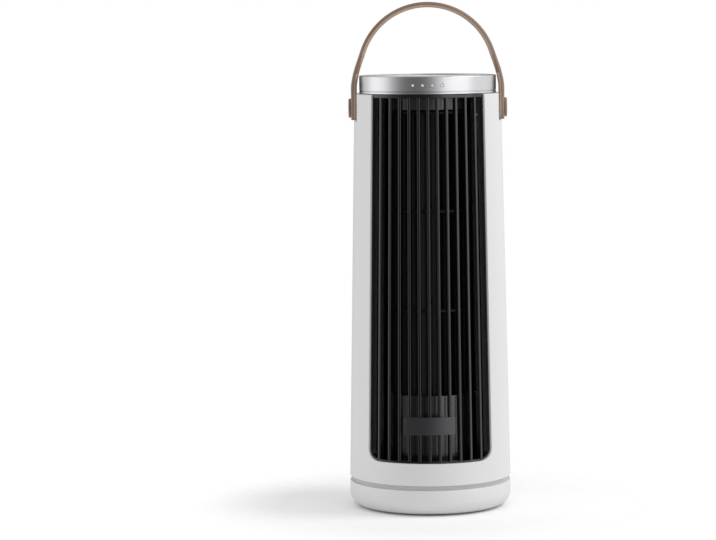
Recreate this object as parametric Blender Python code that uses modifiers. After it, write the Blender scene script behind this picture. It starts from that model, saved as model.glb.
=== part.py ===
"""A round mini tower fan: a tapered tower with a cross-flow wheel turns on a base and is carried by a strap.

Metres, +Z up, front towards -Y. The origin is on the tower's axis, on the surface that the fan stands on.
"""

from math import acos, asin, atan2, cos, pi, radians, sin, sqrt, tan

import bmesh
import bpy
from mathutils import Matrix, Vector

# Clearances
SEAT = 0.0003          # between fixed pieces that touch
RUN = 0.0004           # around pieces that turn or slide

# Base
BASE_RADIUS = 0.0625
BASE_BOTTOM = 0.0010
BASE_TOP = 0.0204
BASE_ROUND = 0.0100    # radius of the rounded bottom edge
BASE_WALL = 0.0025
BASE_RIM = 0.0125      # from the base's side in to the opening underneath
BOTTOM_PLATE_THICK = 0.0022
LEDGE_WIDTH = 0.0030
LEDGE_THICK = 0.0015
PAD_MARGIN = 0.0060    # from the opening in to the pad
PAD_THICK = 0.0016
PAD_RECESS = 0.0009    # how deep the pad sits in the bottom plate
BALLAST_MARGIN = 0.0080
BALLAST_THICK = 0.0060
BALLAST_BORE = 0.0100
BALLAST_RIB = 0.0015
GROOVE = 0.0035        # height of the seam between base and tower
GROOVE_DEPTH = 0.0023
LIP_THICK = 0.0024
GLIDE_MARGIN = 0.0185   # from the base's side in to the glide ring's inner edge
GLIDE_WIDTH = 0.0080
SPINDLE_RADIUS = 0.0100
SPINDLE_BORE = 0.0070
BOLT_BORE = 0.0045
BOLT_HEAD_RADIUS = 0.0130
BOLT_HEAD_THICK = 0.0020
BOLT_LENGTH = 0.0130

# Power inlet, in the back of the base
INLET_HEIGHT = 0.0115
INLET_WIDTH = 0.0090
INLET_TALL = 0.0110
INLET_LENGTH = 0.0100
INLET_NOSE = 0.0052
INLET_BORE = 0.0030
INLET_PIN = 0.0010
INLET_DEPTH = 0.0090

# Oscillation gears
GEAR_MODULE = 0.00125
SUN_TEETH = 24
PINION_TEETH = 12
GEAR_FACE = 0.0050
PRESSURE_ANGLE = radians(25)
BACKLASH = 0.0003
PINION_DIRECTION = radians(60)
STEP_SHAFT_RADIUS = 0.0025
STEP_MOTOR_RADIUS = 0.0140
STEP_MOTOR_TALL = 0.0190
STEP_SHAFT_OFFSET = 0.0080
STEP_BOSS_RADIUS = 0.0045
STEP_BOSS_TALL = 0.0015
STEP_EAR_SPAN = 0.0350
STEP_EAR_RADIUS = 0.0035
STEP_EAR_THICK = 0.0010
POST_RADIUS = 0.0032

# Tower housing
FLOOR_THICK = 0.0025
TOWER_TALL = 0.2966
TOWER_TAPER = 0.0059   # how much less the radius is at the top
TOWER_WALL = 0.0025
SHOULDER_WIDTH = 0.0039
SHOULDER_ROUND = 0.0012
TOP_LIP_WIDTH = 0.0037  # how far the lip reaches in under the ring
TOP_LIP_THICK = 0.0025
INNER_LEDGE = 0.0030

# Front window and its grille
WINDOW_ANGLE = radians(49.5)
WINDOW_SILL = 0.0171
WINDOW_CORNER = 0.0090
CORNER_ANGLE = radians(12)
GRILLE_RECESS = 0.0015
GRILLE_DEPTH = 0.0050
GRILLE_RIM = 0.0015
GRILLE_TOP_RAIL = 0.0022
VANE_COUNT = 11
VANE_WIDTH = 0.00235
VANE_PITCH_SHARE = 0.1305  # step of a vane's x, as a share of the tower's radius
VANE_SET_BACK = 0.0002

# Rear intake
REAR_ANGLE = radians(56)
REAR_SILL = 0.0281
REAR_HEADER = 0.0185
REAR_VANE_COUNT = 13
REAR_VANE_WIDTH = 0.0020
REAR_RAILS = 3
REAR_RAIL_THICK = 0.0030

# Bare plate on the front grille
PLATE_WIDTH = 0.0384
PLATE_TALL = 0.0134
PLATE_LIFT = 0.0221    # from the window's sill up to the plate
PLATE_THICK = 0.0010
PLATE_ROUND = 0.0010

# Motor cover, fan motor and duct
COVER_GAP = 0.0029     # from the wheel's rim out to the cover's side
COVER_WALL = 0.0016
COVER_OVERLAP = 0.0115  # how far the cover reaches up around the wheel
COVER_WEB_DROP = 0.0028
COVER_WEB_THICK = 0.0015
MOTOR_RADIUS = 0.0230
MOTOR_TALL = 0.0189
MOTOR_BOSS_RADIUS = 0.0085
MOTOR_BOSS_TALL = 0.0022
SHAFT_RADIUS = 0.0025
DUCT_WALL = 0.0016
SCROLL_GAP = 0.0047    # from the wheel's rim out to the scroll's tight end
SCROLL_INSET = 0.0068
DUCT_EDGE_ANGLE = radians(54)
SCROLL_TURN = radians(112)
STABILISER_GAP = 0.0043
STABILISER_FLARE = 0.0065  # how far the stabiliser moves away from the wheel behind its nose

# Cross-flow wheel
WHEEL_INSET = 0.0206   # from the tower's side in to the wheel's rim, at the top
WHEEL_LIFT = 0.0521    # from the tower's floor up to the wheel
WHEEL_HEADROOM = 0.0131
WHEEL_SEGMENTS = 3
DISC_THICK = 0.0020
RING_WIDTH = 0.0085
BLADE_COUNT = 24
BLADE_DEPTH = 0.0070
BLADE_THICK = 0.0011
BLADE_SWEEP = radians(11)  # how far a blade's outer edge lies ahead of its inner edge
WHEEL_HUB_RADIUS = 0.0070
WHEEL_HUB_TALL = 0.0145
HUB_CAP = 0.0016
AXLE_RADIUS = 0.0020
AXLE_GRIP = 0.0115

# Top bearing and its bracket
BEARING_RADIUS = 0.0070
BEARING_TALL = 0.0060
BRACKET_INSET = 0.0017  # from the wheel's rim in to the bracket's side
BRACKET_WALL = 0.0016
BRACKET_TALL = 0.0092
BRACKET_WEB = 0.0020
BRACKET_BOSS_WALL = 0.0022
BRACKET_ARM_WIDTH = 0.0120
BRACKET_ARM_THICK = 0.0022

# Silver ring, deck and controls
RING_WALL = 0.0025
RING_TALL = 0.0136
RING_CHAMFER = 0.0010
DECK_BELOW_RING = 0.0010
DECK_THICK = 0.0020
DECK_SKIRT = 0.0011
LIGHT_COUNT = 4
LIGHT_PITCH = 0.0075
LIGHT_RADIUS = 0.0010
LIGHT_LIFT = 0.0068    # from the ring's bottom edge up to the lights
LIGHT_GUIDE_THICK = 0.0016
LIGHT_GUIDE_TALL = 0.0046
BOARD_THICK = 0.0016
MAIN_BOARD_MARGIN = 0.0059
MAIN_BOARD_LIFT = 0.0116
MAGNET_RADIUS = 0.0080
BUTTON_RADIUS = 0.0030
BUTTON_PROUD = 0.0006
BUTTON_TRAVEL = 0.0008
BUTTON_STEM = 0.0019
SWITCH_SIDE = 0.0044
SWITCH_TALL = 0.0045

# Remote, docked in the deck
REMOTE_MARGIN = 0.0129  # from the ring's side in to the remote
REMOTE_TALL = 0.0084
REMOTE_WALL = 0.0016
REMOTE_SPLIT = 0.0043
REMOTE_ROUND = 0.0014
KEY_RADIUS = 0.0052
KEY_MARGIN = 0.0163    # from the remote's edge in to the circle of keys
KEY_TRAVEL = 0.0004
KEY_ANGLES = (0, 45, 135, 180, 225, 270, 315)
COIN_RADIUS = 0.0100
COIN_THICK = 0.0025
LID_RADIUS = 0.0120
DISH_WALL = 0.0012
DISH_FLOOR = 0.0016

# Handle
PIVOT_DROP = 0.0112    # from the tower's top down to the pivots
STRAP_THICK = 0.0042
STRAP_WIDTH = 0.0188
STRAP_OUTSET = 0.0003  # from the tower's side out to the middle of the strap's legs
ARCH_INSET = 0.0047
ARCH_LIFT = 0.0157
FLARE_ABOVE = 0.0158
FLARE_BELOW = 0.0122
PIN_RADIUS = 0.0030
PIN_HEAD_RADIUS = 0.0052
PIN_HEAD_THICK = 0.0015
CAP_RADIUS = 0.0074
CAP_THICK = 0.0018
PIVOT_PAD_WIDTH = 0.0290
PIVOT_PAD_THICK = 0.0040
CUT_OVER = 0.0100      # how far cutters reach past what they cut

# Mesh fineness
FINE = 40
MEDIUM = 30
COARSE = 16

# Heights and radii that follow from the sizes above
BASE_OPENING = BASE_RADIUS - BASE_RIM
PAD_RADIUS = BASE_OPENING - PAD_MARGIN
BALLAST_RADIUS = BASE_OPENING - BALLAST_MARGIN
GLIDE_INNER = BASE_RADIUS - GLIDE_MARGIN
TOWER_BOTTOM_RADIUS = BASE_RADIUS
TOWER_TOP_RADIUS = TOWER_BOTTOM_RADIUS - TOWER_TAPER
TOWER_BOTTOM = BASE_TOP + GROOVE
TOWER_TOP = TOWER_BOTTOM + TOWER_TALL
FLOOR_TOP = TOWER_BOTTOM + FLOOR_THICK
GEAR_BOTTOM = FLOOR_TOP + SEAT
GEAR_TOP = GEAR_BOTTOM + GEAR_FACE
CENTRE_DISTANCE = GEAR_MODULE * (SUN_TEETH + PINION_TEETH) / 2
STEP_MOTOR_BOTTOM = GEAR_TOP + SEAT + BOLT_HEAD_THICK + 0.0013
WINDOW_BOTTOM = TOWER_BOTTOM + WINDOW_SILL
REAR_BOTTOM = TOWER_BOTTOM + REAR_SILL
REAR_TOP = TOWER_TOP - REAR_HEADER
PLATE_BOTTOM = WINDOW_BOTTOM + PLATE_LIFT
PLATE_TOP = PLATE_BOTTOM + PLATE_TALL
WHEEL_RADIUS = TOWER_TOP_RADIUS - WHEEL_INSET
WHEEL_BOTTOM = FLOOR_TOP + WHEEL_LIFT
WHEEL_TOP = TOWER_TOP - WHEEL_HEADROOM
WHEEL_SEGMENT = (WHEEL_TOP - WHEEL_BOTTOM) / WHEEL_SEGMENTS
BLADE_INNER = WHEEL_RADIUS - BLADE_DEPTH
COVER_RADIUS = WHEEL_RADIUS + COVER_GAP
COVER_TOP = WHEEL_BOTTOM + COVER_OVERLAP
COVER_WEB = WHEEL_BOTTOM - COVER_WEB_DROP
SCROLL_START = WHEEL_RADIUS + SCROLL_GAP
SCROLL_END = TOWER_TOP_RADIUS - SCROLL_INSET
STABILISER_NOSE = WHEEL_RADIUS + STABILISER_GAP
MAIN_BOARD_RADIUS = COVER_RADIUS - MAIN_BOARD_MARGIN
MAIN_BOARD_BOTTOM = FLOOR_TOP + MAIN_BOARD_LIFT
BRACKET_RADIUS = WHEEL_RADIUS - BRACKET_INSET
BRACKET_BOTTOM = WHEEL_TOP + 0.0009
BRACKET_TOP = BRACKET_BOTTOM + BRACKET_TALL
RING_BOTTOM = TOWER_TOP + SEAT
RING_TOP = RING_BOTTOM + RING_TALL
RING_RADIUS = TOWER_TOP_RADIUS - SHOULDER_WIDTH
RING_INNER = RING_RADIUS - RING_WALL
TOP_LIP_INNER = RING_RADIUS - TOP_LIP_WIDTH
LIGHT_HEIGHT = RING_BOTTOM + LIGHT_LIFT
DECK_TOP = RING_TOP - DECK_BELOW_RING
DECK_RADIUS = RING_INNER - SEAT
SKIRT_OUTER = DECK_RADIUS - LIGHT_GUIDE_THICK - SEAT
REMOTE_RADIUS = RING_RADIUS - REMOTE_MARGIN
KEY_CIRCLE = REMOTE_RADIUS - KEY_MARGIN
DISH_RADIUS = REMOTE_RADIUS + RUN * 2
REMOTE_TOP = DECK_TOP - SEAT
REMOTE_BOTTOM = REMOTE_TOP - REMOTE_TALL
DISH_TOP = REMOTE_BOTTOM - SEAT
DISH_BOTTOM = DISH_TOP - DISH_FLOOR
CONTROL_BOARD_BOTTOM = BRACKET_TOP + SEAT
CONTROL_BOARD_TOP = CONTROL_BOARD_BOTTOM + BOARD_THICK
BUTTON_PLACE = (DISH_RADIUS + DISH_WALL + SKIRT_OUTER - DECK_SKIRT) / 2
PIVOT_HEIGHT = TOWER_TOP - PIVOT_DROP
STRAP_REACH = TOWER_TOP_RADIUS + STRAP_OUTSET
STRAP_INNER = STRAP_REACH - STRAP_THICK / 2
STRAP_OUTER = STRAP_REACH + STRAP_THICK / 2
ARCH_RADIUS = STRAP_REACH - ARCH_INSET
ARCH_CENTRE = TOWER_TOP + ARCH_LIFT
FLARE_TOP = ARCH_CENTRE + FLARE_ABOVE
FLARE_BOTTOM = ARCH_CENTRE - FLARE_BELOW
FACET = STRAP_INNER - SEAT
PAD_INNER = FACET - PIVOT_PAD_THICK
FACET_BOTTOM = PIVOT_HEIGHT - STRAP_WIDTH / 2 - RUN


def clear_scene():
    for old in list(bpy.data.objects):
        bpy.data.objects.remove(old)


def new_collection(name):
    collection = bpy.data.collections.new(name)
    bpy.context.scene.collection.children.link(collection)
    return collection


def material(name, color, roughness, metallic=0.0):
    made = bpy.data.materials.new(name)
    made.use_nodes = True
    shader = made.node_tree.nodes["Principled BSDF"]
    shader.inputs["Base Color"].default_value = (*color, 1.0)
    shader.inputs["Roughness"].default_value = roughness
    shader.inputs["Metallic"].default_value = metallic
    made.diffuse_color = (*color, 1.0)
    return made


clear_scene()
PARTS = new_collection("mini_fan")
CUTTERS = new_collection("cutters")

WHITE = material("white_plastic", (0.82, 0.82, 0.81), 0.35)
BLACK = material("black_plastic", (0.02, 0.02, 0.022), 0.30)
WHEEL_BLACK = material("wheel_plastic", (0.015, 0.015, 0.016), 0.45)
GREY = material("grey_plastic", (0.35, 0.35, 0.36), 0.50)
NATURAL = material("natural_plastic", (0.80, 0.78, 0.70), 0.45)
SILVER = material("brushed_silver", (0.72, 0.72, 0.73), 0.28, 1.0)
STEEL = material("steel", (0.50, 0.50, 0.52), 0.35, 1.0)
RUBBER = material("rubber", (0.04, 0.04, 0.04), 0.80)
LEATHER = material("leather", (0.30, 0.19, 0.12), 0.55)
BOARD = material("circuit_board", (0.03, 0.20, 0.08), 0.45)
CLEAR = material("clear_plastic", (0.90, 0.90, 0.88), 0.20)
REMOTE_WHITE = material("remote_plastic", (0.80, 0.80, 0.80), 0.40)


def tower_radius(z):
    """Outer radius of the tapered tower at a height."""
    share = (z - TOWER_BOTTOM) / (TOWER_TOP - TOWER_BOTTOM)
    return TOWER_BOTTOM_RADIUS + (TOWER_TOP_RADIUS - TOWER_BOTTOM_RADIUS) * share


def on_circle(radius, angle, centre=(0.0, 0.0)):
    return (centre[0] + radius * cos(angle), centre[1] + radius * sin(angle))


def circle(radius, count, centre=(0.0, 0.0)):
    return [on_circle(radius, 2 * pi * i / count, centre) for i in range(count)]


def rounded(corners, steps=4):
    """Points of an outline. A corner is (x, y), or (x, y, fillet radius)."""
    points = []
    for i, corner in enumerate(corners):
        here = Vector(corner[:2])
        if len(corner) < 3:
            points.append(tuple(here))
            continue
        before = (Vector(corners[i - 1][:2]) - here).normalized()
        after = (Vector(corners[(i + 1) % len(corners)][:2]) - here).normalized()
        half = before.angle(after) / 2
        centre = here + (before + after).normalized() * corner[2] / sin(half)
        start = here + before * corner[2] / tan(half) - centre
        end = here + after * corner[2] / tan(half) - centre
        first = atan2(start.y, start.x)
        sweep = (atan2(end.y, end.x) - first + pi) % (2 * pi) - pi
        points += [on_circle(corner[2], first + sweep * k / steps, centre) for k in range(steps + 1)]
    return points


def finish(obj, paint, smooth=True):
    obj.data.materials.clear()
    obj.data.materials.append(paint)
    PARTS.objects.link(obj)
    if smooth:
        obj.data.shade_smooth()
        obj.data.set_sharp_from_angle(angle=radians(35))
    return obj


def helper(obj):
    CUTTERS.objects.link(obj)
    obj.hide_render = True
    obj.display_type = "WIRE"
    return obj


def object_from(bm, name, place=None):
    mesh = bpy.data.meshes.new(name)
    bm.to_mesh(mesh)
    bm.free()
    obj = bpy.data.objects.new(name, mesh)
    if place is not None:
        obj.matrix_world = place
    return obj


def turned(name, profile, steps=MEDIUM, place=None):
    """A shape turned about its own Z. The profile is (radius, z) points down its outer side."""
    bm = bmesh.new()
    verts = [bm.verts.new((r, 0.0, z)) for r, z in profile]
    for a, b in zip(verts, verts[1:]):
        bm.edges.new((a, b))
    if profile[0][0] > 0:
        bm.edges.new((verts[-1], verts[0]))
    obj = object_from(bm, name, place)
    screw = obj.modifiers.new("turn", "SCREW")
    screw.axis = "Z"
    screw.angle = 2 * pi
    screw.steps = steps
    screw.render_steps = steps
    screw.use_merge_vertices = True
    screw.merge_threshold = 0.00005
    screw.use_smooth_shade = False
    return obj


def rod(name, radius, low, high, steps=COARSE, place=None):
    """A plain turned rod between two heights."""
    return turned(name, [(0, high), (radius, high), (radius, low), (0, low)], steps, place)


def flat_solid(name, loops, low, high, place=None):
    """A flat solid between two heights. The first loop of (x, y) points is its outline, others are holes."""
    curve = bpy.data.curves.new(name + "_outline", "CURVE")
    curve.dimensions = "2D"
    curve.fill_mode = "BOTH"
    curve.extrude = (high - low) / 2
    for loop in loops:
        spline = curve.splines.new("POLY")
        spline.points.add(len(loop) - 1)
        spline.use_cyclic_u = True
        for point, (x, y) in zip(spline.points, loop):
            point.co = (x, y, 0.0, 1.0)
    guide = bpy.data.objects.new(name + "_outline", curve)
    bpy.context.scene.collection.objects.link(guide)
    bpy.context.view_layer.update()
    graph = bpy.context.evaluated_depsgraph_get()
    mesh = bpy.data.meshes.new_from_object(guide.evaluated_get(graph))
    bpy.data.objects.remove(guide)
    bm = bmesh.new()
    bm.from_mesh(mesh)
    bmesh.ops.remove_doubles(bm, verts=bm.verts, dist=0.000002)
    bmesh.ops.translate(bm, verts=bm.verts, vec=(0.0, 0.0, (low + high) / 2))
    bmesh.ops.recalc_face_normals(bm, faces=bm.faces)
    bpy.data.meshes.remove(mesh)
    return object_from(bm, name, place)


def box(name, low, high, place=None):
    bm = bmesh.new()
    size = Vector(high) - Vector(low)
    middle = (Vector(high) + Vector(low)) / 2
    bmesh.ops.create_cube(bm, size=1.0, matrix=Matrix.Translation(middle) @ Matrix.Diagonal((*size, 1.0)))
    return object_from(bm, name, place)


def sheet_wall(name, path, low, high, thickness):
    """A wall of even thickness that stands on a path of (x, y) points."""
    bm = bmesh.new()
    feet = [bm.verts.new((x, y, low)) for x, y in path]
    heads = [bm.verts.new((x, y, high)) for x, y in path]
    for i in range(len(path) - 1):
        bm.faces.new((feet[i], feet[i + 1], heads[i + 1], heads[i]))
    obj = object_from(bm, name)
    shell = obj.modifiers.new("thickness", "SOLIDIFY")
    shell.thickness = thickness
    shell.offset = 0.0
    shell.use_even_offset = True
    return obj


def joined(name, objects):
    """One helper mesh from several objects without modifiers, each kept as its own body."""
    bm = bmesh.new()
    for obj in objects:
        obj.data.transform(obj.matrix_world)
        bm.from_mesh(obj.data)
        bpy.data.objects.remove(obj)
    return helper(object_from(bm, name))


def combine(obj, other, operation):
    change = obj.modifiers.new(operation.lower() + "_" + other.name, "BOOLEAN")
    change.operation = operation
    change.solver = "EXACT"
    change.object = other
    return obj


def cut(obj, *cutters):
    for cutter in cutters:
        combine(obj, cutter, "DIFFERENCE")
    return obj


def unite(obj, *additions):
    for addition in additions:
        combine(obj, addition, "UNION")
    return obj


def smooth_step(share):
    share = max(0.0, min(1.0, share))
    return share * share * (3 - 2 * share)


ABOUT_X = Matrix.Rotation(pi / 2, 4, "Y")


def along_x(side):
    """Placement that lays a turned piece's axis along X, pointing outwards on the given side."""
    turn = ABOUT_X if side > 0 else Matrix.Rotation(-pi / 2, 4, "Y")
    return Matrix.Translation((0.0, 0.0, PIVOT_HEIGHT)) @ turn


# Base


def make_base_shell():
    centre = BASE_RADIUS - BASE_ROUND
    inner_round = BASE_ROUND - BASE_WALL
    deck_under = BASE_TOP - BASE_WALL
    ledge_low = BASE_BOTTOM + BOTTOM_PLATE_THICK + SEAT
    ledge_high = ledge_low + LEDGE_THICK
    round_height = BASE_BOTTOM + BASE_ROUND
    outer_arc = [
        (centre + BASE_ROUND * cos(a), round_height - BASE_ROUND * sin(a))
        for a in [pi / 2 * k / 5 for k in range(6)]
    ]
    start = acos((round_height - ledge_high) / inner_round)
    inner_arc = [
        (centre + inner_round * sin(a), round_height - inner_round * cos(a))
        for a in [start + (pi / 2 - start) * k / 2 for k in range(3)]
    ]
    lip_outer = BASE_RADIUS - GROOVE_DEPTH
    lip_top = TOWER_BOTTOM - RUN
    profile = [
        (SPINDLE_BORE, GEAR_TOP),
        (SPINDLE_RADIUS, GEAR_TOP),
        (SPINDLE_RADIUS, BASE_TOP),
        (lip_outer - LIP_THICK, BASE_TOP),
        (lip_outer - LIP_THICK, lip_top),
        (lip_outer, lip_top),
        (lip_outer, BASE_TOP),
        (BASE_RADIUS - 0.0008, BASE_TOP),
        (BASE_RADIUS - 0.0002, BASE_TOP - 0.0002),
        (BASE_RADIUS, BASE_TOP - 0.0008),
        *outer_arc,
        (BASE_OPENING, BASE_BOTTOM),
        (BASE_OPENING, ledge_low),
        (BASE_OPENING - LEDGE_WIDTH, ledge_low),
        (BASE_OPENING - LEDGE_WIDTH, ledge_high),
        *inner_arc,
        (BASE_RADIUS - BASE_WALL, deck_under),
        (SPINDLE_BORE, deck_under),
    ]
    shell = finish(turned("base_shell", profile, FINE), WHITE)
    hole = flat_solid("inlet_hole", [circle(INLET_NOSE + SEAT, COARSE)], -0.010, 0.010)
    hole.matrix_world = Matrix.Translation((0.0, BASE_RADIUS, INLET_HEIGHT)) @ Matrix.Rotation(pi / 2, 4, "X")
    cut(shell, helper(hole))


def make_base_inside():
    plate_top = BASE_BOTTOM + BOTTOM_PLATE_THICK
    plate_radius = BASE_OPENING - SEAT
    rib_inner = BALLAST_RADIUS + SEAT
    recess_radius = PAD_RADIUS + SEAT
    recess_top = BASE_BOTTOM + PAD_RECESS
    profile = [
        (0, plate_top),
        (rib_inner, plate_top),
        (rib_inner, plate_top + BALLAST_THICK / 2),
        (rib_inner + BALLAST_RIB, plate_top + BALLAST_THICK / 2),
        (rib_inner + BALLAST_RIB, plate_top),
        (plate_radius, plate_top),
        (plate_radius, BASE_BOTTOM),
        (recess_radius, BASE_BOTTOM),
        (recess_radius, recess_top),
        (0, recess_top),
    ]
    finish(turned("bottom_plate", profile, MEDIUM), WHITE)
    finish(rod("antislip_pad", PAD_RADIUS, 0.0, PAD_THICK, MEDIUM), RUBBER)
    ballast_bottom = plate_top + SEAT
    loops = [circle(BALLAST_RADIUS, MEDIUM), circle(BALLAST_BORE, COARSE)]
    finish(flat_solid("ballast_plate", loops, ballast_bottom, ballast_bottom + BALLAST_THICK), STEEL)


def make_inlet():
    """A barrel jack: a block behind the wall, a round nose in the wall's hole, a bore and its centre pin."""
    nose_end = BASE_RADIUS - 0.0013
    block_end = BASE_RADIUS - BASE_WALL - 0.0026
    block_low = (-INLET_WIDTH / 2, block_end - INLET_LENGTH, INLET_HEIGHT - INLET_TALL / 2)
    block_high = (INLET_WIDTH / 2, block_end, INLET_HEIGHT + INLET_TALL / 2)
    inlet = finish(box("dc_inlet", block_low, block_high), BLACK)
    to_back = Matrix.Translation((0.0, 0.0, INLET_HEIGHT)) @ Matrix.Rotation(-pi / 2, 4, "X")
    nose = rod("inlet_nose", INLET_NOSE, block_end - 0.003, nose_end, COARSE, to_back)
    floor = nose_end - INLET_DEPTH
    pin_end = nose_end - 0.0010
    profile = [
        (0, nose_end + 0.002),
        (INLET_BORE, nose_end + 0.002),
        (INLET_BORE, floor),
        (INLET_PIN, floor),
        (INLET_PIN, pin_end),
        (0, pin_end),
    ]
    bore = turned("inlet_bore", profile, COARSE, to_back)
    unite(inlet, helper(nose))
    cut(inlet, helper(bore))


def gear_outline(teeth, turn):
    """Points of an involute gear, with the first tooth's middle turned to an angle."""
    pitch = GEAR_MODULE * teeth / 2
    base = pitch * cos(PRESSURE_ANGLE)
    tip = pitch + 0.95 * GEAR_MODULE
    root = pitch - 1.2 * GEAR_MODULE
    involute_at_pitch = tan(PRESSURE_ANGLE) - PRESSURE_ANGLE
    half_at_pitch = pi / (2 * teeth) - BACKLASH / (4 * pitch)
    flank = []
    for k in range(3):
        radius = max(base, root) + (tip - max(base, root)) * k / 2
        slope = acos(min(1.0, base / radius))
        flank.append((radius, half_at_pitch + involute_at_pitch - (tan(slope) - slope)))
    flank = [(root, flank[0][1])] * (root < base) + flank
    points = []
    for tooth in range(teeth):
        middle = turn + 2 * pi * tooth / teeth
        points += [on_circle(r, middle - half) for r, half in flank]
        points += [on_circle(r, middle + half) for r, half in reversed(flank)]
    return points


def make_oscillation_drive():
    bore = circle(SPINDLE_RADIUS + SEAT, COARSE)
    sun = gear_outline(SUN_TEETH, PINION_DIRECTION)
    finish(flat_solid("sun_gear", [sun, bore], GEAR_BOTTOM, GEAR_TOP), NATURAL)

    glide_low = BASE_TOP + SEAT
    glide_high = TOWER_BOTTOM - SEAT
    loops = [circle(GLIDE_INNER + GLIDE_WIDTH, MEDIUM), circle(GLIDE_INNER, MEDIUM)]
    finish(flat_solid("glide_ring", loops, glide_low, glide_high), NATURAL)

    head_low = GEAR_TOP + SEAT
    head_high = head_low + BOLT_HEAD_THICK
    profile = [
        (BOLT_BORE, head_high),
        (BOLT_HEAD_RADIUS - 0.0005, head_high),
        (BOLT_HEAD_RADIUS, head_high - 0.0005),
        (BOLT_HEAD_RADIUS, head_low),
        (SPINDLE_BORE - SEAT, head_low),
        (SPINDLE_BORE - SEAT, head_low - BOLT_LENGTH),
        (BOLT_BORE, head_low - BOLT_LENGTH),
    ]
    finish(turned("spindle_bolt", profile, COARSE), STEEL)

    centre = on_circle(CENTRE_DISTANCE, PINION_DIRECTION)
    place = Matrix.Translation((*centre, 0.0))
    turn = PINION_DIRECTION + pi + pi / PINION_TEETH
    pinion_bore = circle(STEP_SHAFT_RADIUS + SEAT, COARSE)
    pinion = gear_outline(PINION_TEETH, turn)
    finish(flat_solid("oscillation_pinion", [pinion, pinion_bore], GEAR_BOTTOM, GEAR_TOP, place), NATURAL)
    shaft_top = STEP_MOTOR_BOTTOM + 0.4 * STEP_MOTOR_TALL
    finish(rod("step_motor_shaft", STEP_SHAFT_RADIUS, GEAR_BOTTOM + SEAT, shaft_top, COARSE, place), STEEL)


def step_motor_frame():
    """Middle of the step motor's can, and its two ear holes."""
    reach = CENTRE_DISTANCE - STEP_SHAFT_OFFSET
    middle = on_circle(reach, PINION_DIRECTION)
    sideways = PINION_DIRECTION + pi / 2
    ears = [on_circle(side * STEP_EAR_SPAN / 2, sideways, middle) for side in (-1, 1)]
    return middle, ears


def make_step_motor():
    middle, ears = step_motor_frame()
    place = Matrix.Translation((*middle, 0.0))
    can_high = STEP_MOTOR_BOTTOM + STEP_MOTOR_TALL
    profile = rounded(
        [
            (0, can_high),
            (STEP_MOTOR_RADIUS, can_high, 0.0008),
            (STEP_MOTOR_RADIUS, STEP_MOTOR_BOTTOM),
            (0, STEP_MOTOR_BOTTOM),
        ],
        2,
    )
    motor = finish(turned("step_motor", profile, MEDIUM, place), STEEL)
    strap_half = STEP_EAR_SPAN / 2
    bar = [
        (STEP_EAR_RADIUS * sin(a) * side, side * (strap_half + STEP_EAR_RADIUS * cos(a)))
        for side in (1, -1)
        for a in [pi / 2 - pi * k / 8 for k in range(9)]
    ]
    turn = place @ Matrix.Rotation(PINION_DIRECTION, 4, "Z")
    ear_high = STEP_MOTOR_BOTTOM + STEP_EAR_THICK
    ear_bar = flat_solid("step_ears", [bar], STEP_MOTOR_BOTTOM + 0.0001, ear_high, turn)
    shaft_place = Matrix.Translation((*on_circle(CENTRE_DISTANCE, PINION_DIRECTION), 0.0))
    boss_low = STEP_MOTOR_BOTTOM - STEP_BOSS_TALL
    boss = rod("step_boss", STEP_BOSS_RADIUS, boss_low, STEP_MOTOR_BOTTOM + 0.002, COARSE, shaft_place)
    bore_high = STEP_MOTOR_BOTTOM + 0.4 * STEP_MOTOR_TALL + SEAT
    bore = rod("step_bore", STEP_SHAFT_RADIUS + SEAT, boss_low - 0.001, bore_high, COARSE, shaft_place)
    unite(motor, helper(ear_bar), helper(boss))
    cut(motor, helper(bore))


# Tower housing and grilles


def wedge(name, side, half_angle, low, high, inset=0.0, round_low=True, round_high=False):
    """A cutter that narrows towards the tower's axis, so that the sides of what it cuts are radial.

    Its outline is drawn as (angle, z), with the corners rounded where asked, and laid out on a flat plane.
    The inset draws its sides and corners in; the two heights are given as they are.
    """
    far, near = TOWER_BOTTOM_RADIUS + CUT_OVER, CUT_OVER
    edge = half_angle - inset / tower_radius(low)
    corner_angle = CORNER_ANGLE - inset / tower_radius(low)
    corner_tall = WINDOW_CORNER - inset
    arc = [pi / 2 * k / 6 for k in range(7)]
    right = [(edge, low)]
    if round_low:
        right = [(edge - corner_angle * (1 - sin(a)), low + corner_tall * (1 - cos(a))) for a in arc]
    if round_high:
        right += [(edge - corner_angle * (1 - cos(a)), high - corner_tall * (1 - sin(a))) for a in arc]
    else:
        right.append((edge, high))
    outline = [(tan(a) * far, z) for a, z in right] + [(-tan(a) * far, z) for a, z in reversed(right)]
    bm = bmesh.new()
    ends = [[bm.verts.new((x * y / far, side * y, z)) for x, z in outline] for y in (far, near)]
    for end in ends:
        bm.faces.new(end)
    outer, inner = ends
    for i in range(len(outline)):
        bm.faces.new((outer[i - 1], outer[i], inner[i]))
        bm.faces.new((outer[i - 1], inner[i], inner[i - 1]))
    bmesh.ops.recalc_face_normals(bm, faces=bm.faces)
    return helper(object_from(bm, name))


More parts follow.
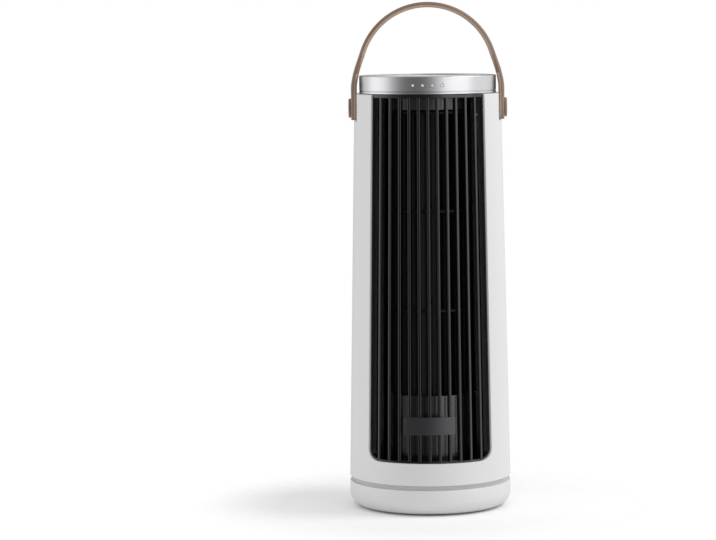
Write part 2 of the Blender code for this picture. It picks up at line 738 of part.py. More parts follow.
def make_housing():
    inner_bottom = TOWER_BOTTOM_RADIUS - TOWER_WALL
    ledge_low = FLOOR_TOP + SEAT
    ledge_high = ledge_low + LEDGE_THICK
    slope_top = ledge_high + INNER_LEDGE
    under_lip = TOWER_TOP - TOP_LIP_THICK
    profile = rounded(
        [
            (TOP_LIP_INNER, TOWER_TOP),
            (TOWER_TOP_RADIUS, TOWER_TOP, SHOULDER_ROUND),
            (TOWER_BOTTOM_RADIUS, TOWER_BOTTOM, 0.0006),
            (inner_bottom, TOWER_BOTTOM),
            (inner_bottom, ledge_low),
            (inner_bottom - INNER_LEDGE, ledge_low),
            (inner_bottom - INNER_LEDGE, ledge_high),
            (tower_radius(slope_top) - TOWER_WALL, slope_top),
            (tower_radius(under_lip) - TOWER_WALL, under_lip),
            (TOP_LIP_INNER, under_lip),
        ],
        3,
    )
    housing = finish(turned("housing", profile, FINE), WHITE)
    half = PIVOT_PAD_WIDTH / 2
    buried = FACET - 0.0001
    pads = [
        box("pivot_pad_right", (PAD_INNER, -half, FACET_BOTTOM - 0.002), (buried, half, TOWER_TOP - SEAT)),
        box("pivot_pad_left", (-buried, -half, FACET_BOTTOM - 0.002), (-PAD_INNER, half, TOWER_TOP - SEAT)),
    ]
    unite(housing, joined("pivot_pads", pads))
    beyond = TOWER_BOTTOM_RADIUS + CUT_OVER
    above = TOWER_TOP + CUT_OVER
    facets = [
        box("facet_right", (FACET, -beyond, FACET_BOTTOM), (beyond, beyond, above)),
        box("facet_left", (-beyond, -beyond, FACET_BOTTOM), (-FACET, beyond, above)),
    ]
    bores = [
        rod("pivot_bore", PIN_RADIUS + SEAT, PAD_INNER - CUT_OVER, beyond, COARSE, along_x(side))
        for side in (-1, 1)
    ]
    cut(housing, joined("strap_recesses", facets), *[helper(bore) for bore in bores])
    front = wedge("front_window", -1, WINDOW_ANGLE, WINDOW_BOTTOM, TOWER_TOP + CUT_OVER)
    rear = wedge("rear_window", 1, REAR_ANGLE, REAR_BOTTOM, REAR_TOP, round_high=True)
    cut(housing, front, rear)


def vane(name, angle, low, high, width, steps):
    """One upright vane in a plane through the tower's axis, with a rounded front, leaning with the taper."""
    front_radius = tower_radius(low) - GRILLE_RECESS - VANE_SET_BACK
    back_radius = tower_radius(low) - GRILLE_RECESS - GRILLE_DEPTH + VANE_SET_BACK
    half = width / 2
    turns = [pi * k / steps for k in range(steps + 1)]
    front = [(front_radius - half + half * sin(a), half * cos(a)) for a in turns]
    blade = flat_solid(name, [front + [(back_radius, -half), (back_radius, half)]], low, high)
    lean = tower_radius(high) - tower_radius(low)
    for vertex in blade.data.vertices:
        if vertex.co.z > (low + high) / 2:
            vertex.co.x += lean
    blade.data.transform(Matrix.Rotation(angle, 4, "Z"))
    return blade


def make_panel(name, side, outline, openings, angles, width, steps, paint):
    """A curved panel in a window of the housing: the outline's rim around the openings, and upright vanes."""
    low, high = openings[0].low - GRILLE_RIM - 0.002, TOWER_TOP
    recess, depth = GRILLE_RECESS, GRILLE_RECESS + GRILLE_DEPTH
    profile = [
        (tower_radius(high) - recess, high),
        (tower_radius(low) - recess, low),
        (tower_radius(low) - depth, low),
        (tower_radius(high) - depth, high),
    ]
    panel = finish(turned(name, profile, MEDIUM if side > 0 else FINE), paint)
    for opening in openings:
        cut(panel, opening.cutter)
    embed = GRILLE_RIM * 0.6
    low, high = openings[0].low - embed, openings[-1].high + embed
    facing = side * pi / 2
    blades = [vane(name + "_vane", facing + angle, low, high, width, steps) for angle in angles]
    unite(panel, joined(name + "_vanes", blades))
    combine(panel, outline, "INTERSECT")


class Opening:
    """One opening between a panel's rim and its cross rails."""

    def __init__(self, name, side, half_angle, low, high, round_low, round_high):
        self.low = low
        self.high = high
        self.cutter = wedge(name, side, half_angle, low, high, GRILLE_RIM, round_low, round_high)


def vane_angles(count, step):
    """Angles of vanes whose distances from the middle plane grow by equal steps, seen from the front."""
    return [asin(step * (k - (count - 1) / 2)) for k in range(count)]


def make_front_grille():
    outline = wedge("front_rim", -1, WINDOW_ANGLE, WINDOW_BOTTOM + SEAT, TOWER_TOP + CUT_OVER, SEAT)
    low = WINDOW_BOTTOM + GRILLE_RIM
    high = TOWER_TOP - GRILLE_TOP_RAIL
    opening = Opening("front_opening", -1, WINDOW_ANGLE, low, high, True, False)
    angles = vane_angles(VANE_COUNT, VANE_PITCH_SHARE)
    make_panel("front_grille", -1, outline, [opening], angles, VANE_WIDTH, 4, BLACK)


def make_rear_grille():
    low, high = REAR_BOTTOM + SEAT, REAR_TOP - SEAT
    outline = wedge("rear_rim", 1, REAR_ANGLE, low, high, SEAT, round_high=True)
    low, high = REAR_BOTTOM + GRILLE_RIM, REAR_TOP - GRILLE_RIM
    bays = REAR_RAILS + 1
    bay = (high - low - REAR_RAILS * REAR_RAIL_THICK) / bays
    openings = []
    for k in range(bays):
        start = low + k * (bay + REAR_RAIL_THICK)
        name = f"rear_opening_{k + 1}"
        openings.append(Opening(name, 1, REAR_ANGLE, start, start + bay, k == 0, k == bays - 1))
    step = 2 * REAR_ANGLE / (REAR_VANE_COUNT + 1)
    angles = [step * (k - (REAR_VANE_COUNT - 1) / 2) for k in range(REAR_VANE_COUNT)]
    make_panel("rear_grille", 1, outline, openings, angles, REAR_VANE_WIDTH, 3, BLACK)


def make_front_plate():
    """A bare plate, curved like the grille, on the fronts of its middle vanes."""
    back = GRILLE_RECESS + VANE_SET_BACK - SEAT
    low, high = PLATE_BOTTOM - 0.005, PLATE_TOP + 0.005
    profile = [
        (tower_radius(high) - back + PLATE_THICK, high),
        (tower_radius(low) - back + PLATE_THICK, low),
        (tower_radius(low) - back, low),
        (tower_radius(high) - back, high),
    ]
    plate = finish(turned("front_plate", profile, FINE), GREY)
    half = PLATE_WIDTH / 2
    corners = [(-half, PLATE_BOTTOM), (half, PLATE_BOTTOM), (half, PLATE_TOP), (-half, PLATE_TOP)]
    outline = rounded([(x, z, PLATE_ROUND) for x, z in corners], 3)
    reach = tower_radius(low)
    frame = flat_solid("plate_outline", [outline], reach / 2, reach * 1.3, Matrix.Rotation(pi / 2, 4, "X"))
    combine(plate, helper(frame), "INTERSECT")


# Tower floor, drive and duct


def make_tower_floor():
    rib_outer = COVER_RADIUS - COVER_WALL - SEAT
    rib_top = FLOOR_TOP + 0.0025
    profile = [
        (SPINDLE_RADIUS + RUN, FLOOR_TOP),
        (rib_outer - 0.0012, FLOOR_TOP),
        (rib_outer - 0.0012, rib_top),
        (rib_outer, rib_top),
        (rib_outer, FLOOR_TOP),
        (TOWER_BOTTOM_RADIUS - TOWER_WALL - SEAT, FLOOR_TOP),
        (TOWER_BOTTOM_RADIUS - TOWER_WALL - SEAT, TOWER_BOTTOM),
        (SPINDLE_RADIUS + RUN, TOWER_BOTTOM),
    ]
    floor = finish(turned("tower_floor", profile, MEDIUM), WHITE)
    ears = step_motor_frame()[1]
    posts = [
        flat_solid("motor_post", [circle(POST_RADIUS, 16, ear)], FLOOR_TOP - 0.001, STEP_MOTOR_BOTTOM - SEAT)
        for ear in ears
    ]
    posts += [
        flat_solid("board_post", [circle(POST_RADIUS, 16, spot)], FLOOR_TOP - 0.001, MAIN_BOARD_BOTTOM - SEAT)
        for spot in board_post_places()
    ]
    unite(floor, joined("floor_posts", posts))


def board_post_places():
    return [on_circle(MAIN_BOARD_RADIUS - 0.006, PINION_DIRECTION + pi + turn) for turn in (-0.7, 0.7)]


def make_main_board():
    """A board cut off straight beside the step motor, on two posts of the floor."""
    chord = STEP_MOTOR_RADIUS - (CENTRE_DISTANCE - STEP_SHAFT_OFFSET) + 0.002
    half = acos(chord / MAIN_BOARD_RADIUS)
    away = PINION_DIRECTION + pi
    outline = [on_circle(MAIN_BOARD_RADIUS, away - half + 2 * half * k / 24) for k in range(25)]
    finish(flat_solid("main_board", [outline], MAIN_BOARD_BOTTOM, MAIN_BOARD_BOTTOM + BOARD_THICK), BOARD)


def make_motor_cover():
    inner = COVER_RADIUS - COVER_WALL
    web_top = COVER_WEB + COVER_WEB_THICK
    hole = MOTOR_BOSS_RADIUS + RUN
    profile = [
        (inner, COVER_TOP),
        (COVER_RADIUS - 0.0004, COVER_TOP),
        (COVER_RADIUS, COVER_TOP - 0.0004),
        (COVER_RADIUS, FLOOR_TOP + SEAT),
        (inner, FLOOR_TOP + SEAT),
        (inner, COVER_WEB),
        (hole, COVER_WEB),
        (hole, web_top),
        (inner, web_top),
    ]
    finish(turned("motor_cover", profile, MEDIUM), GREY)


def make_fan_motor():
    top = COVER_WEB - SEAT
    bottom = top - MOTOR_TALL
    boss_top = top + MOTOR_BOSS_TALL
    bore = SHAFT_RADIUS + SEAT
    profile = rounded(
        [
            (bore, boss_top),
            (MOTOR_BOSS_RADIUS, boss_top, 0.0005),
            (MOTOR_BOSS_RADIUS, top),
            (MOTOR_RADIUS, top, 0.0012),
            (MOTOR_RADIUS, bottom, 0.0012),
            (bore, bottom),
        ],
        2,
    )
    finish(turned("fan_motor", profile, MEDIUM), STEEL)
    hub_floor = WHEEL_BOTTOM + WHEEL_HUB_TALL - HUB_CAP
    finish(rod("motor_shaft", SHAFT_RADIUS, bottom + 0.0015, hub_floor - SEAT), STEEL)


def make_duct():
    """The scroll wall opens from the wheel to the window's left edge, the stabiliser closes its right."""
    top = BRACKET_TOP - BRACKET_ARM_THICK - SEAT
    start = -pi / 2 - DUCT_EDGE_ANGLE
    scroll = []
    for k in range(21):
        share = k / 20
        radius = SCROLL_START + (SCROLL_END - SCROLL_START) * (1 - share) ** 1.6
        scroll.append(on_circle(radius, start - SCROLL_TURN * share))
    finish(sheet_wall("scroll_wall", scroll, FLOOR_TOP + SEAT, top, DUCT_WALL), BLACK)
    edge = -pi / 2 + DUCT_EDGE_ANGLE
    nose = edge + radians(20)
    bend = (SCROLL_END + STABILISER_NOSE) / 2 + SEAT * 5 / 6
    front = [(SCROLL_END, edge), (bend, edge + radians(8)), (STABILISER_NOSE, nose)]
    back = [
        (STABILISER_NOSE + STABILISER_FLARE * (k / 6) ** 1.5, nose + radians(8 * k))
        for k in range(1, 7)
    ]
    path = [on_circle(radius, angle) for radius, angle in front + back]
    finish(sheet_wall("stabiliser_wall", path, FLOOR_TOP + SEAT, top, DUCT_WALL), BLACK)


# Cross-flow wheel


def blade_outline():
    """A thin blade that curves forward from its inner edge to the wheel's rim."""
    outer = WHEEL_RADIUS - 0.0006
    line = []
    for share in (0.0, 0.5, 1.0):
        radius = BLADE_INNER + (outer - BLADE_INNER) * share
        line.append(Vector(on_circle(radius, -BLADE_SWEEP * share ** 1.5)))
    left, right = [], []
    for k, point in enumerate(line):
        along = (line[min(k + 1, 2)] - line[max(k - 1, 0)]).normalized()
        across = Vector((-along.y, along.x)) * BLADE_THICK / 2 * (1.0 if k == 1 else 0.6)
        left.append(tuple(point + across))
        right.append(tuple(point - across))
    return left + right[::-1]


def make_wheel():
    hub_top = WHEEL_BOTTOM + WHEEL_HUB_TALL
    shaft_bore = SHAFT_RADIUS + SEAT
    lower = [
        (0, hub_top),
        (WHEEL_HUB_RADIUS, hub_top),
        (WHEEL_HUB_RADIUS, WHEEL_BOTTOM + DISC_THICK),
        (WHEEL_RADIUS, WHEEL_BOTTOM + DISC_THICK),
        (WHEEL_RADIUS, WHEEL_BOTTOM),
        (shaft_bore, WHEEL_BOTTOM),
        (shaft_bore, hub_top - HUB_CAP),
        (0, hub_top - HUB_CAP),
    ]
    wheel = finish(turned("impeller_wheel", lower, MEDIUM), WHEEL_BLACK)
    axle_bore = AXLE_RADIUS + SEAT
    axle_floor = WHEEL_TOP - AXLE_GRIP
    upper = [
        (0, axle_floor),
        (axle_bore, axle_floor),
        (axle_bore, WHEEL_TOP),
        (WHEEL_RADIUS, WHEEL_TOP),
        (WHEEL_RADIUS, WHEEL_TOP - DISC_THICK),
        (WHEEL_HUB_RADIUS, WHEEL_TOP - DISC_THICK),
        (WHEEL_HUB_RADIUS, axle_floor - HUB_CAP),
        (0, axle_floor - HUB_CAP),
    ]
    unite(wheel, helper(turned("wheel_top_disc", upper, MEDIUM)))
    loops = [circle(WHEEL_RADIUS, MEDIUM), circle(WHEEL_RADIUS - RING_WIDTH, MEDIUM)]
    for k in range(1, WHEEL_SEGMENTS):
        middle = WHEEL_BOTTOM + k * WHEEL_SEGMENT
        ring = flat_solid(f"wheel_ring_{k}", loops, middle - DISC_THICK / 2, middle + DISC_THICK / 2)
        unite(wheel, helper(ring))
    blades = []
    for k in range(BLADE_COUNT):
        place = Matrix.Rotation(2 * pi * k / BLADE_COUNT, 4, "Z")
        low, high = WHEEL_BOTTOM + DISC_THICK / 2, WHEEL_TOP - DISC_THICK / 2
        blades.append(flat_solid("blade", [blade_outline()], low, high, place))
    unite(wheel, joined("wheel_blades", blades))
    axle_top = BRACKET_TOP - BRACKET_WEB - SEAT
    finish(rod("top_axle", AXLE_RADIUS, axle_floor + SEAT, axle_top), STEEL)


def make_top_bearing():
    under_web = BRACKET_TOP - BRACKET_WEB
    boss_inner = BEARING_RADIUS + SEAT
    boss_outer = boss_inner + BRACKET_BOSS_WALL
    boss_low = under_web - BEARING_TALL - 2 * SEAT
    wall_inner = BRACKET_RADIUS - BRACKET_WALL
    profile = [
        (0, BRACKET_TOP),
        (BRACKET_RADIUS, BRACKET_TOP),
        (BRACKET_RADIUS, BRACKET_BOTTOM),
        (wall_inner, BRACKET_BOTTOM),
        (wall_inner, under_web),
        (boss_outer, under_web),
        (boss_outer, boss_low),
        (boss_inner, boss_low),
        (boss_inner, under_web),
        (0, under_web),
    ]
    bracket = finish(turned("top_bearing_bracket", profile, MEDIUM), GREY)
    half = BRACKET_ARM_WIDTH / 2
    low, high = BRACKET_TOP - BRACKET_ARM_THICK, BRACKET_TOP - 0.0001
    inside = BRACKET_RADIUS - BRACKET_WALL / 2
    sideways = PAD_INNER - SEAT
    backwards = sqrt((tower_radius(high) - TOWER_WALL) ** 2 - half ** 2) - SEAT
    arms = [
        box("arm_right", (inside, -half, low), (sideways, half, high)),
        box("arm_left", (-sideways, -half, low), (-inside, half, high)),
        box("arm_back", (-half, inside, low), (half, backwards, high)),
    ]
    unite(bracket, joined("bracket_arms", arms))
    loops = [circle(BEARING_RADIUS, COARSE), circle(AXLE_RADIUS + SEAT, COARSE)]
    finish(flat_solid("top_bearing", loops, under_web - SEAT - BEARING_TALL, under_web - SEAT), STEEL)


# Top of the tower


def light_angles():
    middle = (LIGHT_COUNT - 1) / 2
    return [asin((k - middle) * LIGHT_PITCH / RING_RADIUS) for k in range(LIGHT_COUNT)]


def radial_rods(name, radius, start, end):
    """One rod for each indicator light, pointing outwards through the front of the ring."""
    rods = []
    for angle in light_angles():
        lay = Matrix.Rotation(pi / 2, 4, "X")
        place = Matrix.Rotation(angle, 4, "Z") @ Matrix.Translation((0.0, 0.0, LIGHT_HEIGHT)) @ lay
        rods.append(flat_solid(name, [circle(radius, 12)], start, end, place))
    return joined(name + "s", rods)


def make_ring():
    profile = [
        (RING_INNER, RING_TOP),
        (RING_RADIUS - RING_CHAMFER, RING_TOP),
        (RING_RADIUS - RING_CHAMFER * 0.3, RING_TOP - RING_CHAMFER * 0.3),
        (RING_RADIUS, RING_TOP - RING_CHAMFER),
        (RING_RADIUS, RING_BOTTOM),
        (RING_INNER, RING_BOTTOM),
    ]
    ring = finish(turned("top_ring", profile, FINE), SILVER)
    cut(ring, radial_rods("light_hole", LIGHT_RADIUS + SEAT, RING_INNER - CUT_OVER, RING_RADIUS + CUT_OVER))


def make_light_guide():
    inner = SKIRT_OUTER + SEAT
    outer = DECK_RADIUS
    half = light_angles()[-1] + radians(5)
    arc = [half * (k / 8 - 1) - pi / 2 for k in range(17)]
    outline = [on_circle(outer, a) for a in arc] + [on_circle(inner, a) for a in reversed(arc)]
    low = LIGHT_HEIGHT - LIGHT_GUIDE_TALL / 2
    guide = finish(flat_solid("light_guide", [outline], low, low + LIGHT_GUIDE_TALL), CLEAR)
    unite(guide, radial_rods("light_pin", LIGHT_RADIUS, inner + LIGHT_GUIDE_THICK / 2, RING_RADIUS - 0.0002))


def make_deck():
    dish_outer = DISH_RADIUS + DISH_WALL
    flange_low = DECK_TOP - DECK_THICK
    profile = [
        (0, DISH_TOP),
        (DISH_RADIUS, DISH_TOP),
        (DISH_RADIUS, DECK_TOP),
        (DECK_RADIUS, DECK_TOP),
        (DECK_RADIUS, flange_low),
        (SKIRT_OUTER, flange_low),
        (SKIRT_OUTER, TOWER_TOP + SEAT),
        (SKIRT_OUTER - DECK_SKIRT, TOWER_TOP + SEAT),
        (SKIRT_OUTER - DECK_SKIRT, flange_low),
        (dish_outer, flange_low),
        (dish_outer, DISH_BOTTOM),
        (0, DISH_BOTTOM),
    ]
    deck = finish(turned("top_deck", profile, FINE), WHITE)
    rim = circle(BUTTON_RADIUS + RUN, COARSE, (0.0, -BUTTON_PLACE))
    hole = flat_solid("button_hole", [rim], flange_low - BUTTON_TRAVEL - RUN, RING_TOP)
    cut(deck, helper(hole))


def make_controls():
    edge = SKIRT_OUTER - DECK_SKIRT - SEAT
    board = flat_solid("control_board", [circle(edge, MEDIUM)], CONTROL_BOARD_BOTTOM, CONTROL_BOARD_TOP)
    finish(board, BOARD)
    half = SWITCH_SIDE / 2
    switch_top = CONTROL_BOARD_TOP + SWITCH_TALL
    switch = box(
        "button_switch",
        (-half, -BUTTON_PLACE - half, CONTROL_BOARD_TOP - 0.0005),
        (half, -BUTTON_PLACE + half, switch_top),
    )
    unite(board, helper(switch))
    magnet_low = CONTROL_BOARD_TOP + SEAT
    finish(rod("dock_magnet", MAGNET_RADIUS, magnet_low, DISH_BOTTOM - SEAT, MEDIUM), STEEL)
    top = DECK_TOP + BUTTON_PROUD
    under = DECK_TOP - DECK_THICK + SEAT
    profile = [
        (0, top),
        (BUTTON_RADIUS - 0.0004, top),
        (BUTTON_RADIUS, top - 0.0004),
        (BUTTON_RADIUS, under),
        (BUTTON_STEM, under),
        (BUTTON_STEM, switch_top + BUTTON_TRAVEL),
        (0, switch_top + BUTTON_TRAVEL),
    ]
    finish(turned("power_button", profile, COARSE, Matrix.Translation((0.0, -BUTTON_PLACE, 0.0))), GREY)


# Remote


def key_places():
    return [(0.0, 0.0)] + [on_circle(KEY_CIRCLE, radians(angle)) for angle in KEY_ANGLES]


def make_remote():
    split = REMOTE_BOTTOM + REMOTE_SPLIT
    inner = REMOTE_RADIUS - REMOTE_WALL
    floor = REMOTE_BOTTOM + REMOTE_WALL
    lower = rounded(
        [
            (inner, split),
            (REMOTE_RADIUS, split),
            (REMOTE_RADIUS, REMOTE_BOTTOM, REMOTE_ROUND),
            (LID_RADIUS + SEAT, REMOTE_BOTTOM),
            (LID_RADIUS + SEAT, floor),
            (inner, floor),
        ],
        2,
    )
    finish(turned("remote_lower_shell", lower, FINE), REMOTE_WHITE)
    lid = rod("remote_battery_lid", LID_RADIUS, REMOTE_BOTTOM, floor - SEAT, MEDIUM)
    finish(lid, REMOTE_WHITE)
    coin_top = floor + COIN_THICK
    finish(rod("remote_coin_cell", COIN_RADIUS, floor, coin_top, MEDIUM), STEEL)
    board_low = coin_top + SEAT
    board_high = board_low + BOARD_THICK * 0.7
    finish(rod("remote_board", inner - SEAT, board_low, board_high, MEDIUM), BOARD)
    under_face = REMOTE_TOP - REMOTE_WALL * 0.85
    upper = rounded(
        [
            (0, REMOTE_TOP),
            (REMOTE_RADIUS, REMOTE_TOP, REMOTE_ROUND),
            (REMOTE_RADIUS, split + SEAT),
            (inner, split + SEAT),
            (inner, under_face),
            (0, under_face),
        ],
        2,
    )
    shell = finish(turned("remote_upper_shell", upper, FINE), REMOTE_WHITE)
    holes = [
        flat_solid("key_hole", [circle(KEY_RADIUS + RUN / 2, COARSE, spot)], under_face - 0.001, RING_TOP)
        for spot in key_places()
    ]
    cut(shell, joined("key_holes", holes))
    key_low = board_high + KEY_TRAVEL + SEAT / 2
    for k, spot in enumerate(key_places()):
        place = Matrix.Translation((*spot, 0.0))
        key = rod(f"remote_key_{k + 1}", KEY_RADIUS, key_low, REMOTE_TOP + 0.0001, COARSE, place)
        finish(key, REMOTE_WHITE)


# Handle


def strap_line():
    """Middle line of half the strap, as (x, z) from its end up one leg and round to the top of the arch."""
    end = PIVOT_HEIGHT - STRAP_WIDTH / 2
    heights = [end + (ARCH_CENTRE - end) * k / 10 for k in range(1, 11)]
    apex = [ARCH_CENTRE + ARCH_RADIUS * sin(pi / 2 * k / 14) for k in range(1, 14)]
    line = []
    for z in heights + apex:
        above = max(0.0, z - ARCH_CENTRE)
        arch = sqrt(ARCH_RADIUS ** 2 - above ** 2)
        flare = smooth_step((FLARE_TOP - z) / (FLARE_TOP - FLARE_BOTTOM))
        line.append((arch + (STRAP_REACH - ARCH_RADIUS) * flare, z))
    return line + [(0.0, ARCH_CENTRE + ARCH_RADIUS)]


def make_strap():
    end = PIVOT_HEIGHT - STRAP_WIDTH / 2
    round_end = [pi / 2 * k / 5 for k in range(1, 5)]
    rows = [
        (STRAP_REACH, PIVOT_HEIGHT - STRAP_WIDTH / 2 * cos(a), STRAP_WIDTH / 2 * sin(a))
        for a in round_end
    ]
    rows += [(x, z, STRAP_WIDTH / 2) for x, z in strap_line() if z > PIVOT_HEIGHT - STRAP_WIDTH * 0.05]
    bm = bmesh.new()
    front = [bm.verts.new((x, -half, z)) for x, z, half in rows]
    back = [bm.verts.new((x, half, z)) for x, z, half in rows]
    for i in range(len(rows) - 1):
        bm.faces.new((front[i], back[i], back[i + 1], front[i + 1]))
    bmesh.ops.translate(bm, verts=bm.verts, vec=(0.0, 0.0, -PIVOT_HEIGHT))
    strap = finish(object_from(bm, "handle_strap", Matrix.Translation((0.0, 0.0, PIVOT_HEIGHT))), LEATHER)
    mirror = strap.modifiers.new("other_half", "MIRROR")
    mirror.merge_threshold = 0.00001
    shell = strap.modifiers.new("thickness", "SOLIDIFY")
    shell.thickness = STRAP_THICK
    shell.offset = 0.0
    shell.use_even_offset = True
    bevel = strap.modifiers.new("edges", "BEVEL")
    bevel.width = 0.0008
    bevel.segments = 1
    bevel.limit_method = "ANGLE"
    bevel.angle_limit = radians(60)
    near, far = STRAP_INNER - CUT_OVER, STRAP_OUTER + CUT_OVER
    for side in (-1, 1):
        cut(strap, helper(rod("strap_bore", PIN_RADIUS + SEAT, near, far, COARSE, along_x(side))))


def make_pivots():
    for side, word in ((-1, "left"), (1, "right")):
        place = along_x(side)
        head_high = PAD_INNER - SEAT
        profile = [
            (0, STRAP_OUTER - SEAT),
            (PIN_RADIUS, STRAP_OUTER - SEAT),
            (PIN_RADIUS, head_high),
            (PIN_HEAD_RADIUS, head_high),
            (PIN_HEAD_RADIUS, head_high - PIN_HEAD_THICK),
            (0, head_high - PIN_HEAD_THICK),
        ]
        finish(turned("pivot_pin_" + word, profile, COARSE, place), STEEL)
        low = STRAP_OUTER + SEAT
        high = low + CAP_THICK
        profile = rounded([(0, high), (CAP_RADIUS, high, 0.0006), (CAP_RADIUS, low), (0, low)], 2)
        finish(turned("handle_cap_" + word, profile, COARSE + 8, place), LEATHER)


make_base_shell()
make_base_inside()
make_inlet()
make_oscillation_drive()
make_step_motor()
make_tower_floor()
make_main_board()
make_housing()
make_front_grille()
make_rear_grille()
make_front_plate()
make_motor_cover()
make_fan_motor()
make_duct()
make_wheel()
make_top_bearing()
make_ring()
make_light_guide()
make_deck()
make_controls()
make_remote()
make_strap()
make_pivots()
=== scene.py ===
"""Looks of the mini tower fan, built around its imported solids. Metres, +Z up, front towards -Y."""

from math import asin, atan2, cos, pi, radians, sin, sqrt, tan

import bpy
from mathutils import Matrix, Vector


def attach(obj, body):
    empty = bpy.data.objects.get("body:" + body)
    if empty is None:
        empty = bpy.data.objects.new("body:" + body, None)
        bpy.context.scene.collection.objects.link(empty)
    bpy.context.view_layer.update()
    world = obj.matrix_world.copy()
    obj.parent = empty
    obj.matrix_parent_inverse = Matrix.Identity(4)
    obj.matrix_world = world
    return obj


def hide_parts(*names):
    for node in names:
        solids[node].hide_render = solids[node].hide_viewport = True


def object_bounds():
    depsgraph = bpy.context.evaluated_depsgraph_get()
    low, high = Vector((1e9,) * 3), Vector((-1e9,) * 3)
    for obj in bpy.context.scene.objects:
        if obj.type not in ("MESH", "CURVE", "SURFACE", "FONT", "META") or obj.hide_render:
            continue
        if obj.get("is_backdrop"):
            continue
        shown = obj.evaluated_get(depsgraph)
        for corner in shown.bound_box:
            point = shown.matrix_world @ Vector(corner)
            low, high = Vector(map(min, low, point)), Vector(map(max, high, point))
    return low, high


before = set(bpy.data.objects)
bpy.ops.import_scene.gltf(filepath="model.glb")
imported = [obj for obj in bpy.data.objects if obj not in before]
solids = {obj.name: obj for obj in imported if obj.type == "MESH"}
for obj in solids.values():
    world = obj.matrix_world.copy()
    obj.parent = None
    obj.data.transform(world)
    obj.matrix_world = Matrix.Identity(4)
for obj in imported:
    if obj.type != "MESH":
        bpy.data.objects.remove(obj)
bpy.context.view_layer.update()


# Camera
# It stands a little over two metres in front of the fan, just above the housing's top, and looks slightly
# down. Its long lens keeps the tower's sides straight.
CAMERA_DISTANCE = 2.154
CAMERA_HEIGHT = 0.382
# Degrees: turned to the left, tilted down, and rolled.
CAMERA_TURN = 1.463
CAMERA_TILT = 5.258
CAMERA_ROLL = -0.55

camera_data = bpy.data.cameras.new("photo_camera")
camera_data.lens = 140.1
camera_data.sensor_width = 36.0
camera_data.clip_end = 60.0
camera = bpy.data.objects.new("photo_camera", camera_data)
bpy.context.scene.collection.objects.link(camera)
camera.matrix_world = (
    Matrix.Translation((0.0, -CAMERA_DISTANCE, CAMERA_HEIGHT))
    @ Matrix.Rotation(radians(CAMERA_TURN), 4, "Z")
    @ Matrix.Rotation(radians(90 - CAMERA_TILT), 4, "X")
    @ Matrix.Rotation(radians(CAMERA_ROLL), 4, "Z")
)
bpy.context.scene.camera = camera
bpy.context.scene.view_settings.view_transform = "Standard"


# Floor
# A matt white table top that carries the fan's shadow. It fades into the white background a short way round
# the fan, and the camera sees it a little paler than the fan does, so that the two meet without an edge.
FLOOR_SIZE = 1.6
FLOOR_TONE = 0.90
SEEN_TONE = 1.06
FADE_START = 0.110
FADE_END = 0.190


def colour(code):
    """Linear colour of an sRGB hex code."""
    channels = [int(code[i : i + 2], 16) / 255 for i in (0, 2, 4)]
    return (*(c / 12.92 if c <= 0.04045 else ((c + 0.055) / 1.055) ** 2.4 for c in channels), 1.0)


def add(tree, kind, inputs=(), **settings):
    """Adds a node with its settings. Each input is a value, or the output of another node."""
    node = tree.nodes.new(kind)
    for name, value in settings.items():
        setattr(node, name, value)
    for name, value in dict(inputs).items():
        if isinstance(value, bpy.types.NodeSocket):
            tree.links.new(value, node.inputs[name])
        else:
            node.inputs[name].default_value = value
    return node


def new_material(name):
    """A material with its node tree and its main shader."""
    material = bpy.data.materials.new(name)
    material.use_nodes = True
    return material, material.node_tree, material.node_tree.nodes["Principled BSDF"]


table_top, tree, shader = new_material("matt_white_table_top")
path = add(tree, "ShaderNodeLightPath")
tones = {"Value": path.outputs["Is Camera Ray"], "To Min": FLOOR_TONE, "To Max": SEEN_TONE}
tone = add(tree, "ShaderNodeMapRange", tones)
tree.links.new(tone.outputs["Result"], shader.inputs["Base Color"])
shader.inputs["Roughness"].default_value = 0.9
shader.inputs["Specular IOR Level"].default_value = 0.0
place = add(tree, "ShaderNodeTexCoord").outputs["Object"]
distance = add(tree, "ShaderNodeVectorMath", {0: place}, operation="LENGTH").outputs["Value"]
span = {"Value": distance, "From Min": FADE_START, "From Max": FADE_END}
fade = add(tree, "ShaderNodeMapRange", span, interpolation_type="SMOOTHSTEP")
clear = add(tree, "ShaderNodeBsdfTransparent")
edge = add(tree, "ShaderNodeMixShader", {"Fac": fade.outputs["Result"]})
tree.links.new(shader.outputs[0], edge.inputs[1])
tree.links.new(clear.outputs[0], edge.inputs[2])
tree.links.new(edge.outputs[0], tree.nodes["Material Output"].inputs["Surface"])

bpy.ops.object.select_all(action="DESELECT")
bpy.ops.mesh.primitive_plane_add(size=FLOOR_SIZE)
floor = bpy.context.object
floor.name = "floor"
floor.data.materials.append(table_top)
floor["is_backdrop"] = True


# Studio light
# A large soft lamp on the right, a weaker one at the front right and another on the left. The room that shiny
# pieces mirror is bright on both sides, with a tall strip light at the right. It is dark to the left of the
# camera and grey behind the fan.
AIM_HEIGHT = 0.18


def lamp(name, place, size, power):
    """A soft rectangular lamp aimed at the fan's middle."""
    data = bpy.data.lights.new(name, "AREA")
    data.shape = "RECTANGLE"
    data.size, data.size_y = size
    data.energy = power
    made = bpy.data.objects.new(name, data)
    bpy.context.scene.collection.objects.link(made)
    made.location = place
    aim = Vector((0.0, 0.0, AIM_HEIGHT)) - Vector(place)
    made.rotation_euler = aim.to_track_quat("-Z", "Y").to_euler()


lamp("right_lamp", (1.35, -0.15, 1.45), (0.8, 1.2), 11.5)
lamp("front_right_lamp", (1.3, -1.5, 0.60), (1.2, 1.2), 5.0)
lamp("left_lamp", (-1.8, 0.0, 0.35), (1.5, 1.1), 5.2)

